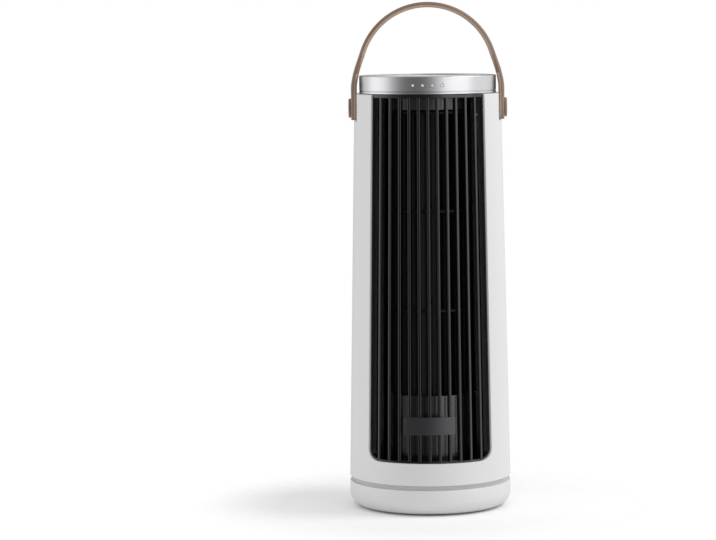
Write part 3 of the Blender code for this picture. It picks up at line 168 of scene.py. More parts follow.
world = bpy.data.worlds.new("studio")
bpy.context.scene.world = world
world.use_nodes = True
tree = world.node_tree
tree.nodes.clear()
heading = add(tree, "ShaderNodeTexCoord").outputs["Generated"]
turn = add(tree, "ShaderNodeTexGradient", {"Vector": heading}, gradient_type="RADIAL")
room = add(tree, "ShaderNodeValToRGB", {"Fac": turn.outputs["Fac"]})
# Brightness of the mirrored room by share of a turn: 0 is to the left, 0.25 at the camera, 0.5 to the right.
around = [
    # Left wall, and the dark side beside the camera
    (0.000, 1.00), (0.045, 1.00), (0.085, 0.75), (0.130, 0.24), (0.215, 0.17), (0.262, 0.30),
    # Front right, with the strip light
    (0.300, 1.05), (0.345, 1.20), (0.410, 1.25), (0.424, 2.60), (0.450, 2.60), (0.465, 1.40),
    # Right wall, the greyer back, and round to the left again
    (0.560, 1.60), (0.633, 1.30), (0.700, 0.85), (0.800, 0.50), (0.870, 1.10), (0.950, 1.20),
]
ramp = room.color_ramp
while len(ramp.elements) < len(around):
    ramp.elements.new(0.5)
for element, (where, level) in zip(ramp.elements, around):
    element.position = where
    element.color = (level, level, level, 1.0)
# The room's even light, what shiny pieces mirror, and the white background that the camera sees.
WHITE = (1.0, 1.0, 1.0, 1.0)
path = add(tree, "ShaderNodeLightPath")
ambient = add(tree, "ShaderNodeBackground", {"Color": WHITE, "Strength": 0.69})
mirrored = add(tree, "ShaderNodeBackground", {"Color": room.outputs["Color"], "Strength": 1.0})
white = add(tree, "ShaderNodeBackground", {"Color": WHITE, "Strength": 1.0})
shiny = add(tree, "ShaderNodeMixShader", {"Fac": path.outputs["Is Glossy Ray"]})
tree.links.new(ambient.outputs[0], shiny.inputs[1])
tree.links.new(mirrored.outputs[0], shiny.inputs[2])
rays = {0: path.outputs["Is Camera Ray"], 1: path.outputs["Is Transmission Ray"]}
through = add(tree, "ShaderNodeMath", rays, operation="MAXIMUM")
all_rays = add(tree, "ShaderNodeMixShader", {"Fac": through.outputs[0]})
tree.links.new(shiny.outputs[0], all_rays.inputs[1])
tree.links.new(white.outputs[0], all_rays.inputs[2])
add(tree, "ShaderNodeOutputWorld", {"Surface": all_rays.outputs[0]})


# Base shell
# The fixed foot under the tower: one satin white ABS moulding with a large rounded bottom edge and a stepped
# rim that runs inside the tower's seam. A round hole at the back takes the power inlet.
def moulded(name, code, roughness, grain, relief, mottle=0.03, metallic=0.0, shine=0.5):
    """Moulded plastic: the mould's spark grain and its relief, in mm, and a faint cloudiness of the gloss.
    Real grain is a tenth or two of a millimetre wide, and it is drawn coarser, so that it shows."""
    cloud_width = 35
    material, tree, shader = new_material(name)
    place = add(tree, "ShaderNodeTexCoord").outputs["Object"]
    fine = add(tree, "ShaderNodeTexNoise", {"Vector": place, "Scale": 1000 / grain, "Detail": 2.0})
    cloud = add(tree, "ShaderNodeTexNoise", {"Vector": place, "Scale": 1000 / cloud_width, "Detail": 3.0})
    spread = {"Value": cloud.outputs["Fac"], "To Min": roughness - 0.05, "To Max": roughness + 0.05}
    gloss = add(tree, "ShaderNodeMapRange", spread)
    plain = colour(code)
    darker = (*(channel * (1 - mottle) for channel in plain[:3]), 1.0)
    tones = {"Factor": cloud.outputs["Fac"], 6: darker, 7: plain}  # inputs 6 and 7 are the colours
    shade = add(tree, "ShaderNodeMix", tones, data_type="RGBA")
    height = {"Height": fine.outputs["Fac"], "Strength": 0.5, "Distance": relief / 1000}
    bump = add(tree, "ShaderNodeBump", height)
    tree.links.new(shade.outputs[2], shader.inputs["Base Color"])
    tree.links.new(gloss.outputs["Result"], shader.inputs["Roughness"])
    tree.links.new(bump.outputs["Normal"], shader.inputs["Normal"])
    shader.inputs["Metallic"].default_value = metallic
    shader.inputs["Specular IOR Level"].default_value = shine
    return material


def select(piece):
    """Makes one piece the only selected and the active one."""
    bpy.ops.object.select_all(action="DESELECT")
    piece.select_set(True)
    bpy.context.view_layer.objects.active = piece


SMOOTH = radians(35)  # edges that turn by more than this stay sharp


def close_edit():
    """Turns the faces outwards, leaves edit mode and shades the round forms smooth."""
    bpy.ops.mesh.select_all(action="SELECT")
    bpy.ops.mesh.normals_make_consistent(inside=False)
    bpy.ops.object.mode_set(mode="OBJECT")
    bpy.ops.object.shade_smooth_by_angle(angle=SMOOTH)
    return bpy.context.object


def turned(name, profile, sides=160):
    """A round piece, extruded ring by ring through (radius, z) points. It is capped where they start and end
    on the axis, and joined back to its first ring where they don't."""
    capped = profile[0][0] == 0
    rings = [point for point in profile if point[0] > 0]
    bpy.ops.object.select_all(action="DESELECT")
    bpy.ops.mesh.primitive_circle_add(
        vertices=sides,
        radius=rings[0][0],
        fill_type="NGON" if capped else "NOTHING",
        location=(0.0, 0.0, rings[0][1]),
    )
    bpy.ops.object.transform_apply(location=True, rotation=False, scale=False)
    piece = bpy.context.object
    piece.name = piece.data.name = name
    bpy.ops.object.mode_set(mode="EDIT")
    bpy.ops.mesh.select_mode(type="EDGE")
    bpy.ops.mesh.select_all(action="SELECT")
    for (r0, z0), (r1, z1) in zip(rings, rings[1:]):
        bpy.ops.mesh.extrude_edges_move(TRANSFORM_OT_translate={"value": (0.0, 0.0, z1 - z0)})
        if r1 != r0:
            bpy.ops.transform.resize(value=(r1 / r0, r1 / r0, 1.0), center_override=(0.0, 0.0, z1))
    if capped:
        bpy.ops.mesh.edge_face_add()
    else:
        bpy.ops.mesh.select_all(action="DESELECT")
        bpy.ops.mesh.select_non_manifold()
        bpy.ops.mesh.bridge_edge_loops()
    return close_edit()


def arc(centre, radius, start, end, steps):
    """(radius, z) points on a circle round a centre, between two angles in degrees from the outward side."""
    turns = [radians(start + (end - start) * k / steps) for k in range(steps + 1)]
    return [(centre[0] + radius * cos(a), centre[1] + radius * sin(a)) for a in turns]


def modify(piece, kind, **settings):
    """Adds a modifier to a piece and applies it."""
    select(piece)
    modifier = piece.modifiers.new(kind.lower(), kind)
    for name, value in settings.items():
        setattr(modifier, name, value)
    bpy.ops.object.modifier_apply(modifier=modifier.name)
    return piece


def combine(piece, other, operation="DIFFERENCE"):
    """Cuts, keeps or adds what two pieces share, and removes the second."""
    modify(piece, "BOOLEAN", object=other, operation=operation, solver="EXACT")
    bpy.data.objects.remove(other)
    bpy.ops.object.shade_smooth_by_angle(angle=SMOOTH)


def cylinder(name, radius, start, end, sides=48):
    """A plain bar between two points, to bore a hole or to start a small piece."""
    start, end = Vector(start), Vector(end)
    bpy.ops.object.select_all(action="DESELECT")
    bpy.ops.mesh.primitive_cylinder_add(
        vertices=sides,
        radius=radius,
        depth=(end - start).length,
        location=(start + end) / 2,
        rotation=(end - start).to_track_quat("Z", "Y").to_euler(),
    )
    bpy.ops.object.transform_apply()
    piece = bpy.context.object
    piece.name = piece.data.name = name
    return piece


def finish(piece, material, body, slot, *replaced):
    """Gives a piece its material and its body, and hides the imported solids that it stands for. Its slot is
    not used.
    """
    piece.data.materials.clear()
    piece.data.materials.append(material)
    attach(piece, body)
    if replaced:
        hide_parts(*replaced)


def paint(material, *nodes):
    """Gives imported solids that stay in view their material."""
    for node in nodes:
        for slot in solids[node].material_slots:
            slot.material = material


# Satin white ABS: soft broad highlights, no visible texture from a metre away.
white_abs = moulded("satin_white_abs", "DCDCDC", 0.38, 0.7, 0.010)

BASE_RADIUS = 0.0625
BASE_TOP = 0.0204
BASE_WALL = 0.0025
FOOT_ROUND = 0.0100
FOOT_CENTRE = 0.0110
TOP_ROUND = 0.0008
RIM_RADIUS = 0.0602
RIM_WALL = 0.0024
RIM_TOP = 0.0235
BOSS_BORE = 0.0070
BOSS_RADIUS = 0.0100
BOSS_TOP = 0.0317
UNDERSIDE = 0.0010
RECESS_RADIUS = 0.0500
RECESS_TOP = 0.0035
LEDGE_RADIUS = 0.0470
LEDGE_TOP = 0.0050
INLET_RADIUS = 0.0055
INLET_HEIGHT = 0.0115
profile = [
    (BOSS_BORE, BOSS_TOP),
    (BOSS_RADIUS, BOSS_TOP),
    (BOSS_RADIUS, BASE_TOP),
    (RIM_RADIUS - RIM_WALL, BASE_TOP),
    (RIM_RADIUS - RIM_WALL, RIM_TOP),
    (RIM_RADIUS, RIM_TOP),
    (RIM_RADIUS, BASE_TOP),
    *arc((BASE_RADIUS - TOP_ROUND, BASE_TOP - TOP_ROUND), TOP_ROUND, 90, 0, 4),
    *arc((BASE_RADIUS - FOOT_ROUND, FOOT_CENTRE), FOOT_ROUND, 0, -90, 16),
    (RECESS_RADIUS, UNDERSIDE),
    (RECESS_RADIUS, RECESS_TOP),
    (LEDGE_RADIUS, RECESS_TOP),
    (LEDGE_RADIUS, LEDGE_TOP),
    *arc((BASE_RADIUS - FOOT_ROUND, FOOT_CENTRE), FOOT_ROUND - BASE_WALL, -53, 0, 6),
    (BASE_RADIUS - BASE_WALL, BASE_TOP - BASE_WALL),
    (BOSS_BORE, BASE_TOP - BASE_WALL),
]
base = turned("base_shell_moulding", profile)
inlet_line = [(0.0, y, INLET_HEIGHT) for y in (0.050, 0.070)]
combine(base, cylinder("inlet_hole", INLET_RADIUS, *inlet_line))
finish(base, white_abs, "base", "white_plastic", "base_shell")
# The rim's face inside the seam: the same plastic in a darker grey, painted shade for the narrow gap under
# the tower's skirt.
SAME_PLACE = 0.0002  # a face this near to a place is taken to lie on it
base.data.materials.append(moulded("seam_shade_grey_abs", "C0C0C2", 0.45, 0.7, 0.010))
for face in base.data.polygons:
    middle = face.center
    off_rim = abs(Vector((middle.x, middle.y)).length - RIM_RADIUS)
    in_seam_shade = BASE_TOP < middle.z < RIM_TOP and off_rim < SAME_PLACE
    # Faces in the seam's gap take the painted shade.
    face.material_index = 1 if in_seam_shade else 0


# Bottom plate and anti-slip pad
# The plate closes the base from below. The pad glued into its recess is moulded rubber with raised rings that
# grip the table.
SEAT = 0.0003  # gap all round a piece that is fixed in another
PAD_RADIUS = 0.0440
BOTTOM_PLATE_TOP = 0.0032
BOTTOM_PLATE_RADIUS = RECESS_RADIUS - SEAT
BOTTOM_PLATE_EDGE = 0.0003
PAD_CEILING = 0.0019
RIB_RADIUS = 0.0438
RIB_WALL = 0.0015
RIB_TOP = 0.0062
plate = turned(
    "bottom_plate_moulding",
    [
        (0, BOTTOM_PLATE_TOP),
        (RIB_RADIUS - RIB_WALL, BOTTOM_PLATE_TOP),
        (RIB_RADIUS - RIB_WALL, RIB_TOP),
        (RIB_RADIUS, RIB_TOP),
        (RIB_RADIUS, BOTTOM_PLATE_TOP),
        (BOTTOM_PLATE_RADIUS, BOTTOM_PLATE_TOP),
        (BOTTOM_PLATE_RADIUS, UNDERSIDE + BOTTOM_PLATE_EDGE),
        (BOTTOM_PLATE_RADIUS - BOTTOM_PLATE_EDGE, UNDERSIDE),
        (PAD_RADIUS + SEAT, UNDERSIDE),
        (PAD_RADIUS + SEAT, PAD_CEILING),
        (0, PAD_CEILING),
    ],
    120,
)
finish(plate, white_abs, "base", "white_plastic", "bottom_plate")

# Dull black rubber: it scatters light and shows a little dust in its fine grain.
rubber = moulded("dull_black_rubber", "2B2B2C", 0.80, 0.4, 0.020, 0.20)
PAD_TOP = 0.0016
PAD_EDGE = 0.0003
PAD_GROOVE_WIDE = 0.0022
PAD_GROOVE_DEEP = 0.0005
profile = [
    (0, PAD_TOP),
    (PAD_RADIUS - PAD_EDGE, PAD_TOP),
    (PAD_RADIUS, PAD_TOP - PAD_EDGE),
    (PAD_RADIUS, PAD_EDGE),
    (PAD_RADIUS - PAD_EDGE, 0.0),
]
# Grooves with sloping sides part the rings that grip.
for inner in (0.036, 0.029, 0.022, 0.015):
    outer = inner + PAD_GROOVE_WIDE
    ceiling = [(outer - 0.0004, PAD_GROOVE_DEEP), (inner + 0.0002, PAD_GROOVE_DEEP)]
    profile += [(outer, 0.0), *ceiling, (inner, 0.0)]
pad = turned("antislip_pad_moulding", profile + [(0, 0.0)], 120)
finish(pad, rubber, "base", "rubber", "antislip_pad")


# Power inlet and the base's inner pieces
# A barrel jack of black nylon with a steel pin, the steel ballast that keeps the fan from tipping, the glide
# ring of acetal that the tower turns on, the fixed gear and the hollow bolt that holds the tower down.

# Black nylon: plain dull black. Natural acetal: cream and a little waxy.
black_nylon = moulded("black_nylon", "18181A", 0.45, 0.5, 0.010)
acetal = moulded("natural_acetal", "E4DFCF", 0.42, 0.6, 0.008)


def metal(name, code, roughness):
    """Bare metal with a faint uneven polish, in patches a few millimetres across."""
    patch_width = 6
    material, tree, shader = new_material(name)
    place = add(tree, "ShaderNodeTexCoord").outputs["Object"]
    cloud = add(tree, "ShaderNodeTexNoise", {"Vector": place, "Scale": 1000 / patch_width, "Detail": 4.0})
    spread = {"Value": cloud.outputs["Fac"], "To Min": roughness - 0.05, "To Max": roughness + 0.05}
    gloss = add(tree, "ShaderNodeMapRange", spread)
    tree.links.new(gloss.outputs["Result"], shader.inputs["Roughness"])
    shader.inputs["Base Color"].default_value = colour(code)
    shader.inputs["Metallic"].default_value = 1.0
    return material


# Zinc-plated steel: grey, half dull, never mirror bright.
steel = metal("zinc_plated_steel", "B4B5B8", 0.38)
paint(black_nylon, "dc_inlet")
paint(steel, "ballast_plate", "spindle_bolt")
paint(acetal, "glide_ring", "sun_gear", "oscillation_pinion")


# Step motor, boards and fan motor
# Bought-in pieces inside the tower: two motors in pressed steel cans, and boards of green glass-epoxy with a
# matt solder mask.

# Solder mask: deep green with a soft sheen, uneven over the copper tracks.
solder_mask = moulded("green_solder_mask", "1E5A34", 0.40, 2.0, 0.020, 0.25)
paint(steel, "step_motor", "step_motor_shaft", "fan_motor", "motor_shaft")
paint(steel, "top_axle", "top_bearing", "dock_magnet")
paint(solder_mask, "main_board", "control_board", "remote_board")


# Tower housing
# One tapered shell of the same satin white ABS with a wide window in front, a rear intake and two flats near
# the top that the strap's legs lie on. Its window edges are crisp and show the wall's thickness.
TOWER_BOTTOM = 0.0239
TOWER_TOP = 0.3205
TOWER_TOP_RADIUS = 0.0566
TOWER_WALL = 0.0025


def tower_radius(z):
    """Outer radius of the tapered tower at a height."""
    return BASE_RADIUS + (TOWER_TOP_RADIUS - BASE_RADIUS) * (z - TOWER_BOTTOM) / (TOWER_TOP - TOWER_BOTTOM)


def block(name, low, high):
    """A box between two corners, to cut with or to start a piece."""
    bpy.ops.object.select_all(action="DESELECT")
    middle = (Vector(low) + Vector(high)) / 2
    bpy.ops.mesh.primitive_cube_add(size=1.0, location=middle, scale=Vector(high) - Vector(low))
    bpy.ops.object.transform_apply()
    piece = bpy.context.object
    piece.name = piece.data.name = name
    return piece


CORNER_TALL = 0.0090
CORNER_TURN = radians(12)  # width of a window's rounded corner, seen from the axis


def wedge(name, side, half_angle, low, high, inset=0.0, round_low=True, round_high=False):
    """A cutter with radial sides in front of the tower's axis, or behind it. Its corners are rounded where
    asked. The inset draws its sides and corners in."""
    far, near = 0.0725, 0.010
    edge = half_angle - inset / tower_radius(low)
    across = tan(edge) * far
    corner = across - tan(edge - CORNER_TURN + inset / tower_radius(low)) * far
    tall = CORNER_TALL - inset
    squeeze = tall / corner
    middle = (low + high) / 2
    bpy.ops.object.select_all(action="DESELECT")
    start = (0.0, side * far, middle)
    bpy.ops.mesh.primitive_plane_add(size=1.0, location=start, rotation=(pi / 2, 0.0, 0.0))
    piece = bpy.context.object
    piece.scale = (2 * across * squeeze, high - low, 1.0)
    bpy.ops.object.transform_apply()
    piece.name = piece.data.name = name
    bpy.ops.object.mode_set(mode="EDIT")
    bpy.ops.mesh.select_mode(type="VERT")
    bpy.ops.mesh.select_all(action="DESELECT")
    bpy.ops.object.mode_set(mode="OBJECT")
    for vertex in piece.data.vertices:
        vertex.select = round_low if vertex.co.z < middle else round_high
    bpy.ops.object.mode_set(mode="EDIT")
    if round_low or round_high:
        bpy.ops.mesh.bevel(offset=tall, segments=8, affect="VERTICES")
    bpy.ops.mesh.select_all(action="SELECT")
    bpy.ops.transform.resize(value=(1 / squeeze, 1.0, 1.0), center_override=(0.0, side * far, 0.0))
    bpy.ops.mesh.extrude_region_move(TRANSFORM_OT_translate={"value": (0.0, side * (near - far), 0.0)})
    bpy.ops.transform.resize(value=(near / far, 1.0, 1.0), center_override=(0.0, side * near, 0.0))
    return close_edit()


WINDOW_BOTTOM = 0.0410
WINDOW_HALF = radians(49.5)
REAR_HALF = radians(56)
REAR_BOTTOM = 0.0520
REAR_TOP = 0.3020
# The flats lie this far from the axis and start at this height. The strap turns on pins in the pads behind.
FLAT = 0.0545
FLAT_BOTTOM = 0.2995
WINDOW_EDGE = 0.00035
PIVOT_HEIGHT = 0.3093
PIN_BORE = 0.0033
PIVOT_PAD_HALF = 0.0145
PIVOT_PAD_INNER = 0.0505
MOUTH_RADIUS = 0.0490
MOUTH_UNDER = 0.3180
# A ledge inside, with a sloping upper side, lies on the rim of the tower's floor.
LEDGE_HEIGHT = 0.0267
LEDGE_DEEP = 0.0030
LEDGE_THICK = 0.0015
SLOPE_TOP = 0.0312
TOWER_EDGE = 0.0004
TOWER_ROUND = 0.0012
profile = [
    (MOUTH_RADIUS, TOWER_TOP),
    *arc((TOWER_TOP_RADIUS - TOWER_ROUND, TOWER_TOP - TOWER_ROUND), TOWER_ROUND, 90, 0, 5),
    (BASE_RADIUS, TOWER_BOTTOM + TOWER_EDGE),
    (BASE_RADIUS - TOWER_EDGE, TOWER_BOTTOM),
    (BASE_RADIUS - TOWER_WALL, TOWER_BOTTOM),
    (BASE_RADIUS - TOWER_WALL, LEDGE_HEIGHT),
    (BASE_RADIUS - TOWER_WALL - LEDGE_DEEP, LEDGE_HEIGHT),
    (BASE_RADIUS - TOWER_WALL - LEDGE_DEEP, LEDGE_HEIGHT + LEDGE_THICK),
    (tower_radius(SLOPE_TOP) - TOWER_WALL, SLOPE_TOP),
    (tower_radius(MOUTH_UNDER) - TOWER_WALL, MOUTH_UNDER),
    (MOUTH_RADIUS, MOUTH_UNDER),
]
housing = turned("housing_moulding", profile, 192)
for side in (-1, 1):
    near, far = sorted((side * PIVOT_PAD_INNER, side * (FLAT - 0.0001)))
    low, high = FLAT_BOTTOM - 0.002, TOWER_TOP - SEAT
    combine(housing, block("pivot_pad", (near, -PIVOT_PAD_HALF, low), (far, PIVOT_PAD_HALF, high)), "UNION")
for side in (-1, 1):
    near, far = sorted((side * FLAT, side * 0.075))
    combine(housing, block("strap_flat", (near, -0.06, FLAT_BOTTOM), (far, 0.06, 0.34)))
    pin_line = [(side * x, 0.0, PIVOT_HEIGHT) for x in (0.040, 0.075)]
    combine(housing, cylinder("pivot_bore", PIN_BORE, *pin_line))
combine(housing, wedge("front_window", -1, WINDOW_HALF, WINDOW_BOTTOM, TOWER_TOP + 0.010))
combine(housing, wedge("rear_window", 1, REAR_HALF, REAR_BOTTOM, REAR_TOP, round_high=True))
modify(housing, "BEVEL", width=WINDOW_EDGE, segments=2, limit_method="ANGLE", angle_limit=radians(50))
bpy.ops.object.shade_smooth_by_angle(angle=SMOOTH)
finish(housing, white_abs, "tower", "white_plastic", "housing")
paint(white_abs, "tower_floor")


# Front grille
# Eleven upright vanes in a frame that fills the window, moulded in one piece of glossy black ABS. Each vane
# points at the tower's axis and leans with its taper.

# Glossy black ABS: nearly black, with sharp mirrored streaks along every rounded edge.
glossy_black = moulded("glossy_black_abs", "09090A", 0.20, 1.2, 0.003)
# Front faces lie this far inside the tower's surface, and the pieces are this deep.
VANE_SUNK = 0.0017
VANE_DEEP = 0.0046
FRAME_SUNK = 0.0015
FRAME_DEEP = 0.0050


def vane(name, angle, low, high, width, round_by):
    """One upright vane with rounded front edges, in a plane through the tower's axis."""
    front = tower_radius(low) - VANE_SUNK
    back = front - VANE_DEEP
    piece = block(name, (-width / 2, -front, low), (width / 2, -back, high))
    bpy.ops.object.mode_set(mode="EDIT")
    bpy.ops.mesh.select_mode(type="EDGE")
    bpy.ops.mesh.select_all(action="DESELECT")
    bpy.ops.object.mode_set(mode="OBJECT")
    for edge in piece.data.edges:
        ends = [piece.data.vertices[k].co for k in edge.vertices]
        upright = abs(ends[0].z - ends[1].z) > 0.001
        edge.select = upright and ends[0].y < -(front + back) / 2
    bpy.ops.object.mode_set(mode="EDIT")
    bpy.ops.mesh.bevel(offset=round_by, segments=4)
    bpy.ops.mesh.select_mode(type="VERT")
    bpy.ops.mesh.select_all(action="DESELECT")
    bpy.ops.object.mode_set(mode="OBJECT")
    for vertex in piece.data.vertices:
        vertex.select = vertex.co.z > (low + high) / 2
    bpy.ops.object.mode_set(mode="EDIT")
    bpy.ops.transform.translate(value=(0.0, tower_radius(low) - tower_radius(high), 0.0))
    bpy.ops.mesh.select_all(action="SELECT")
    bpy.ops.transform.rotate(value=angle, orient_axis="Z", center_override=(0.0, 0.0, 0.0))
    return close_edit()


def join(name, pieces):
    """Joins pieces into the first one."""
    bpy.ops.object.select_all(action="DESELECT")
    for piece in pieces:
        piece.select_set(True)
    bpy.context.view_layer.objects.active = pieces[0]
    if len(pieces) > 1:
        bpy.ops.object.join()
    pieces[0].name = pieces[0].data.name = name
    return pieces[0]


def panel(name, outline, openings, sides):
    """A curved frame in a window of the housing, a little sunk and open between its rails."""
    low, high = 0.035, TOWER_TOP
    front, back = FRAME_SUNK, FRAME_SUNK + FRAME_DEEP
    ring = [
        (tower_radius(high) - front, high),
        (tower_radius(low) - front, low),
        (tower_radius(low) - back, low),
        (tower_radius(high) - back, high),
    ]
    piece = turned(name, ring, sides)
    combine(piece, outline, "INTERSECT")
    for opening in openings:
        combine(piece, opening)
    return piece


RIM = 0.0015  # width of the frame's rails
TOP_RAIL = 0.0022
VANE_WIDTH = 0.00235
VANE_ROUND = 0.0007
VANE_PITCH = 0.1305  # sine of the angle between two vanes
low, high = WINDOW_BOTTOM + RIM, TOWER_TOP - TOP_RAIL
outline = wedge("front_rim", -1, WINDOW_HALF, WINDOW_BOTTOM + SEAT, TOWER_TOP + 0.010, SEAT)
opening = wedge("front_opening", -1, WINDOW_HALF, low, high, RIM)
grille = panel("front_frame", outline, [opening], 192)
foot, head = low - 0.0008, high + 0.0009
turns = [asin(VANE_PITCH * k) for k in range(-5, 6)]
vanes = [vane("front_vane", turn, foot, head, VANE_WIDTH, VANE_ROUND) for turn in turns]
grille = join("front_grille_moulding", [grille, *vanes])
bpy.ops.object.shade_smooth_by_angle(angle=SMOOTH)
finish(grille, glossy_black, "tower", "black_plastic", "front_grille")


# Front plate
# A bare plate on the grille's middle vanes. It is pressed from thin aluminium, bent to the tower's curve and
# finished with a smoky satin lacquer.

# Smoky lacquer over the metal: dark grey with a soft metallic sheen.
smoky_lacquer = moulded("smoky_satin_lacquer", "4A4A4D", 0.30, 0.8, 0.004, 0.05, 0.75)
FRONT_PLATE_SUNK = 0.0004
FRONT_PLATE_THICK = 0.0010
FRONT_PLATE_HALF = 0.0192
FRONT_PLATE_BOTTOM = 0.0631
FRONT_PLATE_TOP = 0.0765
FRONT_PLATE_CORNER = 0.0010
FRONT_PLATE_EDGE = 0.0002
low, high = 0.055, 0.085
curved = turned(
    "front_plate_pressing",
    [
        (tower_radius(high) - FRONT_PLATE_SUNK, high),
        (tower_radius(low) - FRONT_PLATE_SUNK, low),
        (tower_radius(low) - FRONT_PLATE_SUNK - FRONT_PLATE_THICK, low),
        (tower_radius(high) - FRONT_PLATE_SUNK - FRONT_PLATE_THICK, high),
    ],
    192,
)
low_corner = (-FRONT_PLATE_HALF, -0.075, FRONT_PLATE_BOTTOM)
high_corner = (FRONT_PLATE_HALF, -0.030, FRONT_PLATE_TOP)
outline = block("plate_outline", low_corner, high_corner)
sharp = {"limit_method": "ANGLE", "angle_limit": radians(60)}
modify(outline, "BEVEL", width=FRONT_PLATE_CORNER, segments=4, **sharp)
combine(curved, outline, "INTERSECT")
modify(curved, "BEVEL", width=FRONT_PLATE_EDGE, segments=2, **sharp)
bpy.ops.object.shade_smooth_by_angle(angle=SMOOTH)
finish(curved, smoky_lacquer, "tower", "grey_plastic", "front_plate")


# Rear grille
# Thirteen finer vanes with three cross rails, moulded like the front grille. Air is drawn in through it.
low, high = REAR_BOTTOM + SEAT, REAR_TOP - SEAT
outline = wedge("rear_rim", 1, REAR_HALF, low, high, SEAT, True, True)
RAIL = 0.0030
BAYS = 4
REAR_VANE_WIDTH = 0.0020
REAR_VANE_ROUND = 0.0006
REAR_VANE_PITCH = radians(8)
low, high = REAR_BOTTOM + RIM, REAR_TOP - RIM
bay = (high - low - (BAYS - 1) * RAIL) / BAYS
openings = []
for k in range(BAYS):
    start = low + k * (bay + RAIL)
    openings.append(wedge("rear_opening", 1, REAR_HALF, start, start + bay, RIM, k == 0, k == BAYS - 1))
grille = panel("rear_frame", outline, openings, 160)
foot, head = low - 0.0008, high + 0.0008
turns = [pi + REAR_VANE_PITCH * k for k in range(-6, 7)]
vanes = [vane("rear_vane", turn, foot, head, REAR_VANE_WIDTH, REAR_VANE_ROUND) for turn in turns]
grille = join("rear_grille_moulding", [grille, *vanes])
bpy.ops.object.shade_smooth_by_angle(angle=SMOOTH)
finish(grille, glossy_black, "tower", "black_plastic", "rear_grille")


# Motor cover and duct walls
# A grey cup stands on the floor around the fan motor and the wheel's foot. Two thin black walls beside the
# wheel shape the air's way from the rear intake to the front window.

# Glossy charcoal ABS: dark from the front, with a broad bright streak where it turns to the right.
charcoal_abs = moulded("glossy_charcoal_abs", "0E0E10", 0.22, 0.8, 0.004, shine=0.7)
COVER_RADIUS = 0.0389
COVER_INNER = 0.0373
COVER_TOP = 0.0900
SHELF_UNDER = 0.0757
SHELF_TOP = 0.0772
SHAFT_HOLE = 0.0089
cover = turned(
    "motor_cover_moulding",
    [
        (COVER_INNER, COVER_TOP - 0.0003),
        (COVER_INNER + 0.0003, COVER_TOP),
        (COVER_RADIUS - 0.0005, COVER_TOP),
        (COVER_RADIUS - 0.0001, COVER_TOP - 0.0002),
        (COVER_RADIUS, COVER_TOP - 0.0006),
        (COVER_RADIUS, LEDGE_HEIGHT),
        (COVER_INNER, LEDGE_HEIGHT),
        (COVER_INNER, SHELF_UNDER),
        (SHAFT_HOLE, SHELF_UNDER),
        (SHAFT_HOLE, SHELF_TOP),
        (COVER_INNER, SHELF_TOP),
    ],
    128,
)
finish(cover, charcoal_abs, "tower", "grey_plastic", "motor_cover")
# Matt black ABS: the walls drink the light, so the duct looks deep.
matt_black = moulded("matt_black_abs", "0B0B0C", 0.50, 0.8, 0.010, shine=0.30)
paint(matt_black, "scroll_wall", "stabiliser_wall")


# Cross-flow wheel
# A drum of 24 thin forward-curved blades between two discs and two stiffening rings, welded from three
# moulded segments of black glass-filled ABS. Only its disc edges catch light behind the vanes.

# Glass-filled ABS: a dry black with a faint grey bloom.
glass_filled = moulded("black_glass_filled_abs", "070708", 0.50, 0.5, 0.012, 0.15, shine=0.20)
WHEEL_BOTTOM = 0.0785
WHEEL_TOP = 0.3074
WHEEL_RADIUS = 0.0360
WHEEL_EDGE = 0.0003
DISC = 0.0020
SEGMENT = 0.0763
HUB_RADIUS = 0.0070
HUB_EDGE = 0.0004
SHAFT_BORE = 0.0028
AXLE_BORE = 0.0023
SHAFT_END = 0.0914
AXLE_END = 0.2959
HUB_WALL = 0.0016
RING_INNER = 0.0275
lower = turned(
    "wheel_foot",
    [
        (0, SHAFT_END + HUB_WALL),
        (HUB_RADIUS - HUB_EDGE, SHAFT_END + HUB_WALL),
        (HUB_RADIUS, SHAFT_END + HUB_WALL - HUB_EDGE),
        (HUB_RADIUS, WHEEL_BOTTOM + DISC),
        (WHEEL_RADIUS - WHEEL_EDGE, WHEEL_BOTTOM + DISC),
        (WHEEL_RADIUS, WHEEL_BOTTOM + DISC - WHEEL_EDGE),
        (WHEEL_RADIUS, WHEEL_BOTTOM + WHEEL_EDGE),
        (WHEEL_RADIUS - WHEEL_EDGE, WHEEL_BOTTOM),
        (SHAFT_BORE, WHEEL_BOTTOM),
        (SHAFT_BORE, SHAFT_END),
        (0, SHAFT_END),
    ],
    96,
)
upper = turned(
    "wheel_head",
    [
        (0, AXLE_END),
        (AXLE_BORE, AXLE_END),
        (AXLE_BORE, WHEEL_TOP),
        (WHEEL_RADIUS - WHEEL_EDGE, WHEEL_TOP),
        (WHEEL_RADIUS, WHEEL_TOP - WHEEL_EDGE),
        (WHEEL_RADIUS, WHEEL_TOP - DISC + WHEEL_EDGE),
        (WHEEL_RADIUS - WHEEL_EDGE, WHEEL_TOP - DISC),
        (HUB_RADIUS, WHEEL_TOP - DISC),
        (HUB_RADIUS, AXLE_END - HUB_WALL + HUB_EDGE),
        (HUB_RADIUS - HUB_EDGE, AXLE_END - HUB_WALL),
        (0, AXLE_END - HUB_WALL),
    ],
    96,
)
rings = []
for k in (1, 2):
    z = WHEEL_BOTTOM + k * SEGMENT
    ring = [
        (RING_INNER, z + DISC / 2),
        (WHEEL_RADIUS - WHEEL_EDGE, z + DISC / 2),
        (WHEEL_RADIUS, z + DISC / 2 - WHEEL_EDGE),
        (WHEEL_RADIUS, z - DISC / 2 + WHEEL_EDGE),
        (WHEEL_RADIUS - WHEEL_EDGE, z - DISC / 2),
        (RING_INNER, z - DISC / 2),
    ]
    rings.append(turned("wheel_ring", ring, 96))


BLADES = 24
BLADE_THICK = 0.0009
BLADE_SWEEP = radians(11)


